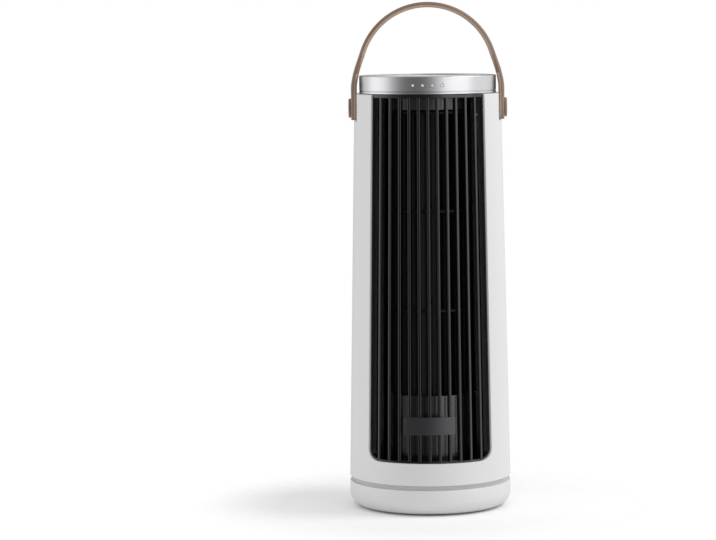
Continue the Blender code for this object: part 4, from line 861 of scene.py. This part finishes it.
def blade():
    """One blade: a flat strip, divided along its depth and cambered column by column, then thickened."""
    inner, outer = 0.0290, 0.0354
    low, high = WHEEL_BOTTOM + DISC / 2, WHEEL_TOP - DISC / 2
    upright = (pi / 2, 0.0, 0.0)
    bpy.ops.object.select_all(action="DESELECT")
    bpy.ops.mesh.primitive_grid_add(x_subdivisions=6, y_subdivisions=1, size=1.0, rotation=upright)
    piece = bpy.context.object
    piece.scale = (outer - inner, high - low, 1.0)
    piece.location = ((inner + outer) / 2, 0.0, (low + high) / 2)
    bpy.ops.object.transform_apply()
    for vertex in piece.data.vertices:
        radius = vertex.co.x
        turn = -BLADE_SWEEP * max(0.0, (radius - inner) / (outer - inner)) ** 1.5
        vertex.co.x, vertex.co.y = radius * cos(turn), radius * sin(turn)
    return modify(piece, "SOLIDIFY", thickness=BLADE_THICK, offset=0.0)


blades = [blade()]
for k in range(1, BLADES):
    copy = blades[0].copy()
    copy.data = blades[0].data.copy()
    copy.data.transform(Matrix.Rotation(2 * pi * k / BLADES, 4, "Z"))
    bpy.context.scene.collection.objects.link(copy)
    blades.append(copy)
wheel = join("impeller_wheel_moulding", [lower, upper, *rings, *blades])
bpy.ops.object.shade_smooth_by_angle(angle=SMOOTH)
finish(wheel, glass_filled, "impeller", "wheel_plastic", "impeller_wheel")


# Top bearing bracket
# A grey cup over the wheel's upper end with three arms to the housing. It holds the axle's ball bearing and
# shows as a lighter band at the top of the window.
CUP_RADIUS = 0.0343
CUP_INNER = 0.0327
CUP_TOP = 0.3175
CUP_BOTTOM = 0.3083
CUP_EDGE = 0.0003
CEILING = 0.3155
SOCKET_OUTER = 0.0095
SOCKET_INNER = 0.0073
SOCKET_BOTTOM = 0.3089
bracket = turned(
    "top_bearing_bracket_moulding",
    [
        (0, CUP_TOP),
        (CUP_RADIUS - CUP_EDGE, CUP_TOP),
        (CUP_RADIUS, CUP_TOP - CUP_EDGE),
        (CUP_RADIUS, CUP_BOTTOM + CUP_EDGE),
        (CUP_RADIUS - CUP_EDGE, CUP_BOTTOM),
        (CUP_INNER, CUP_BOTTOM),
        (CUP_INNER, CEILING),
        (SOCKET_OUTER, CEILING),
        (SOCKET_OUTER, SOCKET_BOTTOM),
        (SOCKET_INNER, SOCKET_BOTTOM),
        (SOCKET_INNER, CEILING),
        (0, CEILING),
    ],
    128,
)
ARM_HALF = 0.0060
ARM_START = 0.0335
SIDE_REACH = 0.0502
REAR_REACH = 0.0534
low, high = CEILING - 0.0002, CUP_TOP - 0.0001
arms = [
    block("bracket_arm", (ARM_START, -ARM_HALF, low), (SIDE_REACH, ARM_HALF, high)),
    block("bracket_arm", (-SIDE_REACH, -ARM_HALF, low), (-ARM_START, ARM_HALF, high)),
    block("bracket_arm", (-ARM_HALF, ARM_START, low), (ARM_HALF, REAR_REACH, high)),
]
bracket = join("top_bearing_bracket_moulding", [bracket, *arms])
# Satin grey ABS: a shade lighter than the motor cover, with the same soft upright streaks.
grey_abs = moulded("satin_grey_abs", "303032", 0.28, 0.8, 0.006, shine=0.8)
finish(bracket, grey_abs, "tower", "grey_plastic", "top_bearing_bracket")


# Silver ring
# Turned from aluminium and brushed round its side before a clear anodising. A thin bead stands at its lower
# edge under a fine groove, and four small holes let the indicator lights through.
RING_RADIUS = 0.0527
RING_TOP = 0.3344
RING_BOTTOM = 0.3208
RING_BORE = 0.0502
RING_ROUND = 0.0008
RING_EDGE = 0.0002
GROOVE_TOP = 0.3231
GROOVE_TALL = 0.0008
GROOVE_DEEP = 0.0004
LIGHT_RADIUS = 0.0013
LIGHT_HEIGHT = 0.3276
LIGHT_PITCH = 0.0075
SCRATCH_LONG = 0.012
SCRATCH_WIDE = 0.00012


def brushed_round():
    """Brushing that runs round the ring: long faint scratches, and highlights drawn out across them. Real
    scratches are some hundredths of a millimetre wide, and they are drawn wider, so that they show."""
    material, tree, shader = new_material("brushed_aluminium")
    place = add(tree, "ShaderNodeTexCoord").outputs["Object"]
    parts = add(tree, "ShaderNodeSeparateXYZ", {"Vector": place})
    turn = add(tree, "ShaderNodeMath", {0: parts.outputs["Y"], 1: parts.outputs["X"]}, operation="ARCTAN2")
    along = add(tree, "ShaderNodeMath", {0: turn.outputs[0], 1: RING_RADIUS}, operation="MULTIPLY")
    strip = add(tree, "ShaderNodeCombineXYZ", {"X": along.outputs[0], "Y": parts.outputs["Z"]})
    scale = (1 / SCRATCH_LONG, 1 / SCRATCH_WIDE, 1.0)
    size = add(tree, "ShaderNodeMapping", {"Vector": strip.outputs[0], "Scale": scale})
    scratch = add(tree, "ShaderNodeTexNoise", {"Vector": size.outputs[0], "Scale": 1.0, "Detail": 3.0})
    spread = {"Value": scratch.outputs["Fac"], "To Min": 0.22, "To Max": 0.38}
    gloss = add(tree, "ShaderNodeMapRange", spread)
    height = {"Height": scratch.outputs["Fac"], "Strength": 0.4, "Distance": 0.00001}
    bump = add(tree, "ShaderNodeBump", height)
    tangent = add(tree, "ShaderNodeTangent", direction_type="RADIAL", axis="Z")
    tree.links.new(gloss.outputs["Result"], shader.inputs["Roughness"])
    tree.links.new(bump.outputs["Normal"], shader.inputs["Normal"])
    tree.links.new(tangent.outputs[0], shader.inputs["Tangent"])
    shader.inputs["Base Color"].default_value = colour("B0B0B2")
    shader.inputs["Metallic"].default_value = 1.0
    shader.inputs["Anisotropic"].default_value = 0.45
    return material


ring = turned(
    "top_ring_turning",
    [
        (RING_BORE, RING_TOP - RING_EDGE),
        (RING_BORE + RING_EDGE, RING_TOP),
        *arc((RING_RADIUS - RING_ROUND, RING_TOP - RING_ROUND), RING_ROUND, 90, 0, 5),
        (RING_RADIUS, GROOVE_TOP),
        (RING_RADIUS - GROOVE_DEEP, GROOVE_TOP - RING_EDGE),
        (RING_RADIUS - GROOVE_DEEP, GROOVE_TOP - GROOVE_TALL + RING_EDGE),
        (RING_RADIUS, GROOVE_TOP - GROOVE_TALL),
        (RING_RADIUS, RING_BOTTOM + RING_EDGE),
        (RING_RADIUS - RING_EDGE, RING_BOTTOM),
        (RING_BORE, RING_BOTTOM),
    ],
    192,
)
for k in (-1.5, -0.5, 0.5, 1.5):
    angle = asin(k * LIGHT_PITCH / RING_RADIUS)
    aim = Vector((sin(angle), -cos(angle), 0.0))
    height = Vector((0.0, 0.0, LIGHT_HEIGHT))
    combine(ring, cylinder("light_hole", LIGHT_RADIUS, aim * 0.040 + height, aim * 0.062 + height, 32))
finish(ring, brushed_round(), "tower", "silver", "top_ring")


# Indicator lights
# A curved bar of milky acrylic behind the ring carries light from the board to four round pins that end
# flush with the brushed side.

# Milky acrylic: white through and through, with a soft gloss that is hazed every millimetre or two.
milky, tree, shader = new_material("milky_acrylic")
place = add(tree, "ShaderNodeTexCoord").outputs["Object"]
haze = add(tree, "ShaderNodeTexNoise", {"Vector": place, "Scale": 1000 / 1.5, "Detail": 2.0})
spread = {"Value": haze.outputs["Fac"], "To Min": 0.20, "To Max": 0.32}
gloss = add(tree, "ShaderNodeMapRange", spread)
tree.links.new(gloss.outputs["Result"], shader.inputs["Roughness"])
shader.inputs["Base Color"].default_value = colour("F0F0EE")
paint(milky, "light_guide")


# Top deck
# A satin white moulding inside the ring: a flat rim with the power button, and a round dish that the remote
# rests in over a magnet.
DECK_TOP = 0.3334
DECK_UNDER = 0.3314
DECK_RADIUS = RING_BORE - SEAT
SKIRT_OUTER = 0.0480
SKIRT_INNER = 0.0469
DISH_RADIUS = 0.0406
DISH_OUTER = 0.0418
DISH_FLOOR = 0.3244
DISH_UNDER = 0.3228
DISH_LIP = 0.0004
DECK_EDGE = 0.0003
profile = [
    (0, DISH_FLOOR),
    (DISH_RADIUS - DECK_EDGE, DISH_FLOOR),
    (DISH_RADIUS, DISH_FLOOR + DECK_EDGE),
    (DISH_RADIUS, DECK_TOP - DISH_LIP),
    (DISH_RADIUS + DISH_LIP, DECK_TOP),
    (DECK_RADIUS - DECK_EDGE, DECK_TOP),
    (DECK_RADIUS, DECK_TOP - DECK_EDGE),
    (DECK_RADIUS, DECK_UNDER),
    (SKIRT_OUTER, DECK_UNDER),
    (SKIRT_OUTER, RING_BOTTOM),
    (SKIRT_INNER, RING_BOTTOM),
    (SKIRT_INNER, DECK_UNDER),
    (DISH_OUTER, DECK_UNDER),
    (DISH_OUTER, DISH_UNDER),
    (0, DISH_UNDER),
]
deck = turned("top_deck_moulding", profile)
BUTTON_PLACE = 0.04435
BUTTON_HOLE = 0.0034
button_line = [(0.0, -BUTTON_PLACE, z) for z in (0.3302, 0.34)]
combine(deck, cylinder("button_hole", BUTTON_HOLE, *button_line))
finish(deck, white_abs, "tower", "white_plastic", "top_deck")


# Power button
# A small round cap of satin grey ABS with a soft edge and a shallow dish for the fingertip.
BUTTON_RADIUS = 0.0030
BUTTON_TOP = 0.3340
BUTTON_UNDER = 0.3317
STEM_RADIUS = 0.0019
STEM_END = 0.3250
button = turned(
    "power_button_cap",
    [
        (0, BUTTON_TOP - 0.00025),
        (0.0012, BUTTON_TOP - 0.00022),
        (0.0022, BUTTON_TOP - 0.0001),
        (BUTTON_RADIUS - 0.0004, BUTTON_TOP),
        (BUTTON_RADIUS - 0.0001, BUTTON_TOP - 0.0002),
        (BUTTON_RADIUS, BUTTON_TOP - 0.0005),
        (BUTTON_RADIUS, BUTTON_UNDER),
        (STEM_RADIUS, BUTTON_UNDER),
        (STEM_RADIUS, STEM_END),
        (0, STEM_END),
    ],
    48,
)
button.data.transform(Matrix.Translation((0.0, -BUTTON_PLACE, 0.0)))
finish(button, grey_abs, "button", "grey_plastic", "power_button")


# Remote
# A flat round remote of pale ABS in two shells, with eight round keys that stand level with its face. Their
# generic signs are printed in grey. The coin cell sits behind a small cover underneath.

# Pale satin ABS: as soft as the housing's, and a touch whiter.
pale_abs = moulded("pale_satin_abs", "E0E0E0", 0.40, 0.6, 0.008)
REMOTE_RADIUS = 0.0398
REMOTE_INNER = 0.0382
REMOTE_ROUND = 0.0014
REMOTE_TOP = 0.3331
REMOTE_SPLIT = 0.3290
REMOTE_BOTTOM = 0.3247
REMOTE_FLOOR = 0.3263
COVER_HOLE = 0.0123
shell = turned(
    "remote_lower_moulding",
    [
        (REMOTE_INNER, REMOTE_SPLIT),
        (REMOTE_RADIUS, REMOTE_SPLIT),
        *arc((REMOTE_RADIUS - REMOTE_ROUND, REMOTE_BOTTOM + REMOTE_ROUND), REMOTE_ROUND, 0, -90, 5),
        (COVER_HOLE, REMOTE_BOTTOM),
        (COVER_HOLE, REMOTE_FLOOR),
        (REMOTE_INNER, REMOTE_FLOOR),
    ],
)
finish(shell, pale_abs, "remote", "remote_plastic", "remote_lower_shell")
FACE_UNDER = 0.33174
shell = turned(
    "remote_upper_moulding",
    [
        (0, REMOTE_TOP),
        *arc((REMOTE_RADIUS - REMOTE_ROUND, REMOTE_TOP - REMOTE_ROUND), REMOTE_ROUND, 90, 0, 5),
        (REMOTE_RADIUS, REMOTE_SPLIT + SEAT),
        (REMOTE_INNER, REMOTE_SPLIT + SEAT),
        (REMOTE_INNER, FACE_UNDER),
        (0, FACE_UNDER),
    ],
)
KEY_CIRCLE = 0.0235
KEY_HOLE = 0.0054
key_places = [(0.0, 0.0)]
for a in (0, 45, 135, 180, 225, 270, 315):
    key_places.append((KEY_CIRCLE * cos(radians(a)), KEY_CIRCLE * sin(radians(a))))
for x, y in key_places:
    combine(shell, cylinder("key_hole", KEY_HOLE, (x, y, 0.330), (x, y, 0.340)))
finish(shell, pale_abs, "remote", "remote_plastic", "remote_upper_shell")
paint(pale_abs, "remote_battery_lid")
paint(steel, "remote_coin_cell")

# Pad-printed ink: matt grey, thin enough to follow the plastic's grain.
printed_grey = moulded("printed_grey_ink", "6A6C70", 0.55, 0.4, 0.002)
INK = 0.00003
THIN = 0.0004  # width of a stroke


def bar(length, width, x=0.0, y=0.0, turn=0.0):
    """A stroke of a printed sign, centred at a place and turned about the key's middle."""
    piece = block("stroke", (x - length / 2, y - width / 2, 0.0), (x + length / 2, y + width / 2, INK))
    piece.data.transform(Matrix.Rotation(turn, 4, "Z"))
    return piece


def hoop(radius, start=0.0, end=360.0):
    """An arc of a printed sign, laid out in short strokes."""
    count = max(6, int((end - start) / 12))
    step = radians(end - start) / count
    length = 2 * (radius + THIN / 2) * tan(abs(step) / 2)
    turns = [radians(start) - pi / 2 + step * (k + 0.5) for k in range(count)]
    return [bar(length, THIN, 0.0, radius, turn) for turn in turns]


# Power, plus, timer, speed, minus, turning, fan and light.
signs = [
    lambda: [*hoop(0.0020, 125, 415), bar(THIN, 0.0018, 0.0, 0.0017)],
    lambda: [bar(0.0030, THIN), bar(THIN, 0.0030)],
    lambda: [*hoop(0.0018), bar(THIN, 0.0013, 0.0, 0.0005), bar(0.0010, THIN, 0.0004, 0.0)],
    lambda: [bar(0.0026, THIN, 0.0, y) for y in (-0.0009, 0.0, 0.0009)],
    lambda: [bar(0.0030, THIN)],
    lambda: [*hoop(0.0019, 20, 160), *hoop(0.0019, 200, 340)],
    lambda: [bar(0.0018, THIN, 0.0009, 0.0, 2 * pi * k / 3 + pi / 6) for k in range(3)],
    lambda: [*hoop(0.0010), *[bar(0.0007, THIN, 0.0018, 0.0, pi * k / 4) for k in range(8)]],
]
KEY_RADIUS = 0.0052
KEY_TOP = 0.33315
KEY_BOTTOM = 0.3308
for k, ((x, y), sign) in enumerate(zip(key_places, signs), 1):
    key = turned(
        f"remote_key_{k}_cap",
        [
            (0, KEY_TOP),
            (KEY_RADIUS - 0.0008, KEY_TOP),
            (KEY_RADIUS - 0.0003, KEY_TOP - 0.00005),
            (KEY_RADIUS, KEY_TOP - 0.00035),
            (KEY_RADIUS, KEY_BOTTOM),
            (0, KEY_BOTTOM),
        ],
        48,
    )
    key.data.transform(Matrix.Translation((x, y, 0.0)))
    finish(key, pale_abs, f"key_{k}", "remote_plastic", f"remote_key_{k}")
    printed = join(f"remote_key_{k}_sign", sign())
    printed.data.transform(Matrix.Translation((x, y, KEY_TOP)))
    finish(printed, printed_grey, f"key_{k}", "grey_plastic")


# Handle strap
# A firm strap of two leathers, about 4 mm thick together: brown full-grain outside and a paler lining inside.
# It is cut to rounded ends, and its cut edges are rounded and burnished smooth.
STRAP_HALF = 0.0094
STRAP_THICK = 0.0042
STRAP_EDGE = 0.0019
STRAP_REACH = 0.0569
ARCH_RADIUS = 0.0522
ARCH_CENTRE = 0.3362
# Between these heights each leg draws in from the pivots to the arch.
LEG_LOW = 0.3240
LEG_HIGH = 0.3520


def strap_place(z):
    """Distance of the strap's middle line from the fan's middle at a height."""
    share = max(0.0, min(1.0, (LEG_HIGH - z) / (LEG_HIGH - LEG_LOW)))
    above = max(0.0, z - ARCH_CENTRE)
    arch = sqrt(max(0.0, ARCH_RADIUS ** 2 - above ** 2))
    return arch + (STRAP_REACH - ARCH_RADIUS) * share * share * (3 - 2 * share)


def leather(name, dark, light, roughness):
    """Leather between two tones: fine pores and soft creases about a millimetre apart."""
    material, tree, shader = new_material(name)
    place = add(tree, "ShaderNodeTexCoord").outputs["Object"]
    grain = add(tree, "ShaderNodeTexVoronoi", {"Vector": place, "Scale": 1000 / 0.9}, feature="F1")
    fine = add(tree, "ShaderNodeTexNoise", {"Vector": place, "Scale": 1000 / 2.5, "Detail": 5.0})
    cloud = add(tree, "ShaderNodeTexNoise", {"Vector": place, "Scale": 1000 / 18, "Detail": 3.0})
    tones = {"Factor": cloud.outputs["Fac"], 6: colour(dark), 7: colour(light)}
    tone = add(tree, "ShaderNodeMix", tones, data_type="RGBA")
    both = {0: grain.outputs["Distance"], 1: fine.outputs["Fac"]}
    height = add(tree, "ShaderNodeMath", both, operation="ADD")
    relief = {"Height": height.outputs[0], "Strength": 0.35, "Distance": 0.00012}
    bump = add(tree, "ShaderNodeBump", relief)
    tree.links.new(tone.outputs[2], shader.inputs["Base Color"])
    tree.links.new(bump.outputs["Normal"], shader.inputs["Normal"])
    shader.inputs["Roughness"].default_value = roughness
    return material


# The strap is swept row by row: out from its rounded end, up the leg, over the arch and down the other side.
rows = []
for k in range(1, 9):
    a = pi / 2 * k / 8
    rows.append((STRAP_REACH, PIVOT_HEIGHT - STRAP_HALF * cos(a), STRAP_HALF * sin(a)))
for k in range(1, 13):
    z = PIVOT_HEIGHT + (ARCH_CENTRE - PIVOT_HEIGHT) * k / 12
    rows.append((strap_place(z), z, STRAP_HALF))
for k in range(1, 25):
    z = ARCH_CENTRE + ARCH_RADIUS * sin(pi / 2 * k / 24)
    rows.append((strap_place(z), z, STRAP_HALF))
rows += [(-x, z, half) for x, z, half in reversed(rows[:-1])]
bpy.ops.object.select_all(action="DESELECT")
bpy.ops.mesh.primitive_plane_add(size=1.0)
strap = bpy.context.object
strap.name = strap.data.name = "handle_strap_leather"
strap.scale = (STRAP_THICK, 2 * STRAP_HALF, 1.0)
bpy.ops.object.transform_apply()
bpy.ops.object.mode_set(mode="EDIT")
bpy.ops.mesh.select_mode(type="FACE")
bpy.ops.mesh.select_all(action="SELECT")
bpy.ops.mesh.bevel(offset=STRAP_EDGE, segments=6, affect="VERTICES")
bpy.ops.mesh.select_all(action="SELECT")
x0, z0, half0 = rows[0]
bpy.ops.transform.translate(value=(x0, 0.0, z0))
bpy.ops.transform.resize(value=(1.0, half0 / STRAP_HALF, 1.0), center_override=(x0, 0.0, z0))
lean0 = 0.0
for k in range(1, len(rows)):
    (x0, z0, half0), (x1, z1, half1) = rows[k - 1], rows[k]
    x2, z2 = rows[min(k + 1, len(rows) - 1)][:2]
    lean1 = atan2(x0 - x2, z2 - z0)
    bpy.ops.mesh.extrude_region_move(TRANSFORM_OT_translate={"value": (x1 - x0, 0.0, z1 - z0)})
    bpy.ops.transform.rotate(value=lean1 - lean0, orient_axis="Y", center_override=(x1, 0.0, z1))
    bpy.ops.transform.resize(value=(1.0, half1 / half0, 1.0), center_override=(x1, 0.0, z1))
    lean0 = lean1
close_edit()
for side in (-1, 1):
    pin_line = [(side * x, 0.0, PIVOT_HEIGHT) for x in (0.045, 0.070)]
    combine(strap, cylinder("pin_bore", PIN_BORE, *pin_line))
# Full-grain side: brown, and gently shiny where the light grazes it. Lining: sand-coloured and duller.
brown_leather = leather("brown_full_grain_leather", "735C4C", "927A68", 0.42)
lining_leather = leather("sand_lining_leather", "A48D7A", "BFA995", 0.60)
finish(strap, brown_leather, "handle", "leather", "handle_strap")
strap.data.materials.append(lining_leather)
for face in strap.data.polygons:
    x, z = abs(face.center.x), face.center.z
    above = max(0.0, z - ARCH_CENTRE)
    bend = STRAP_REACH if z < PIVOT_HEIGHT else strap_place(z)
    reach = x - bend if above == 0.0 else sqrt(x * x + above * above) - ARCH_RADIUS
    inside = reach < -SAME_PLACE
    face.material_index = 1 if inside else 0


# Handle pivots
# Turned steel pins through the housing's pads, covered outside by round caps that are wrapped in the strap's
# leather.
paint(steel, "pivot_pin_left", "pivot_pin_right")
CAP_RADIUS = 0.0074
CAP_TALL = 0.0018
CAP_ROUND = 0.0008
CAP_SEAT = 0.0593
for side, word in ((-1, "left"), (1, "right")):
    cap = turned(
        f"handle_cap_{word}_leather",
        [
            (0, CAP_SEAT + CAP_TALL),
            (0.0050, CAP_SEAT + CAP_TALL),
            *arc((CAP_RADIUS - CAP_ROUND, CAP_SEAT + CAP_TALL - CAP_ROUND), CAP_ROUND, 90, 0, 4),
            (CAP_RADIUS, CAP_SEAT),
            (0, CAP_SEAT),
        ],
        64,
    )
    lay = Matrix.Translation((0.0, 0.0, PIVOT_HEIGHT)) @ Matrix.Rotation(side * pi / 2, 4, "Y")
    cap.data.transform(lay)
    finish(cap, brown_leather, "handle", "leather", f"handle_cap_{word}")


low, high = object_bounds()
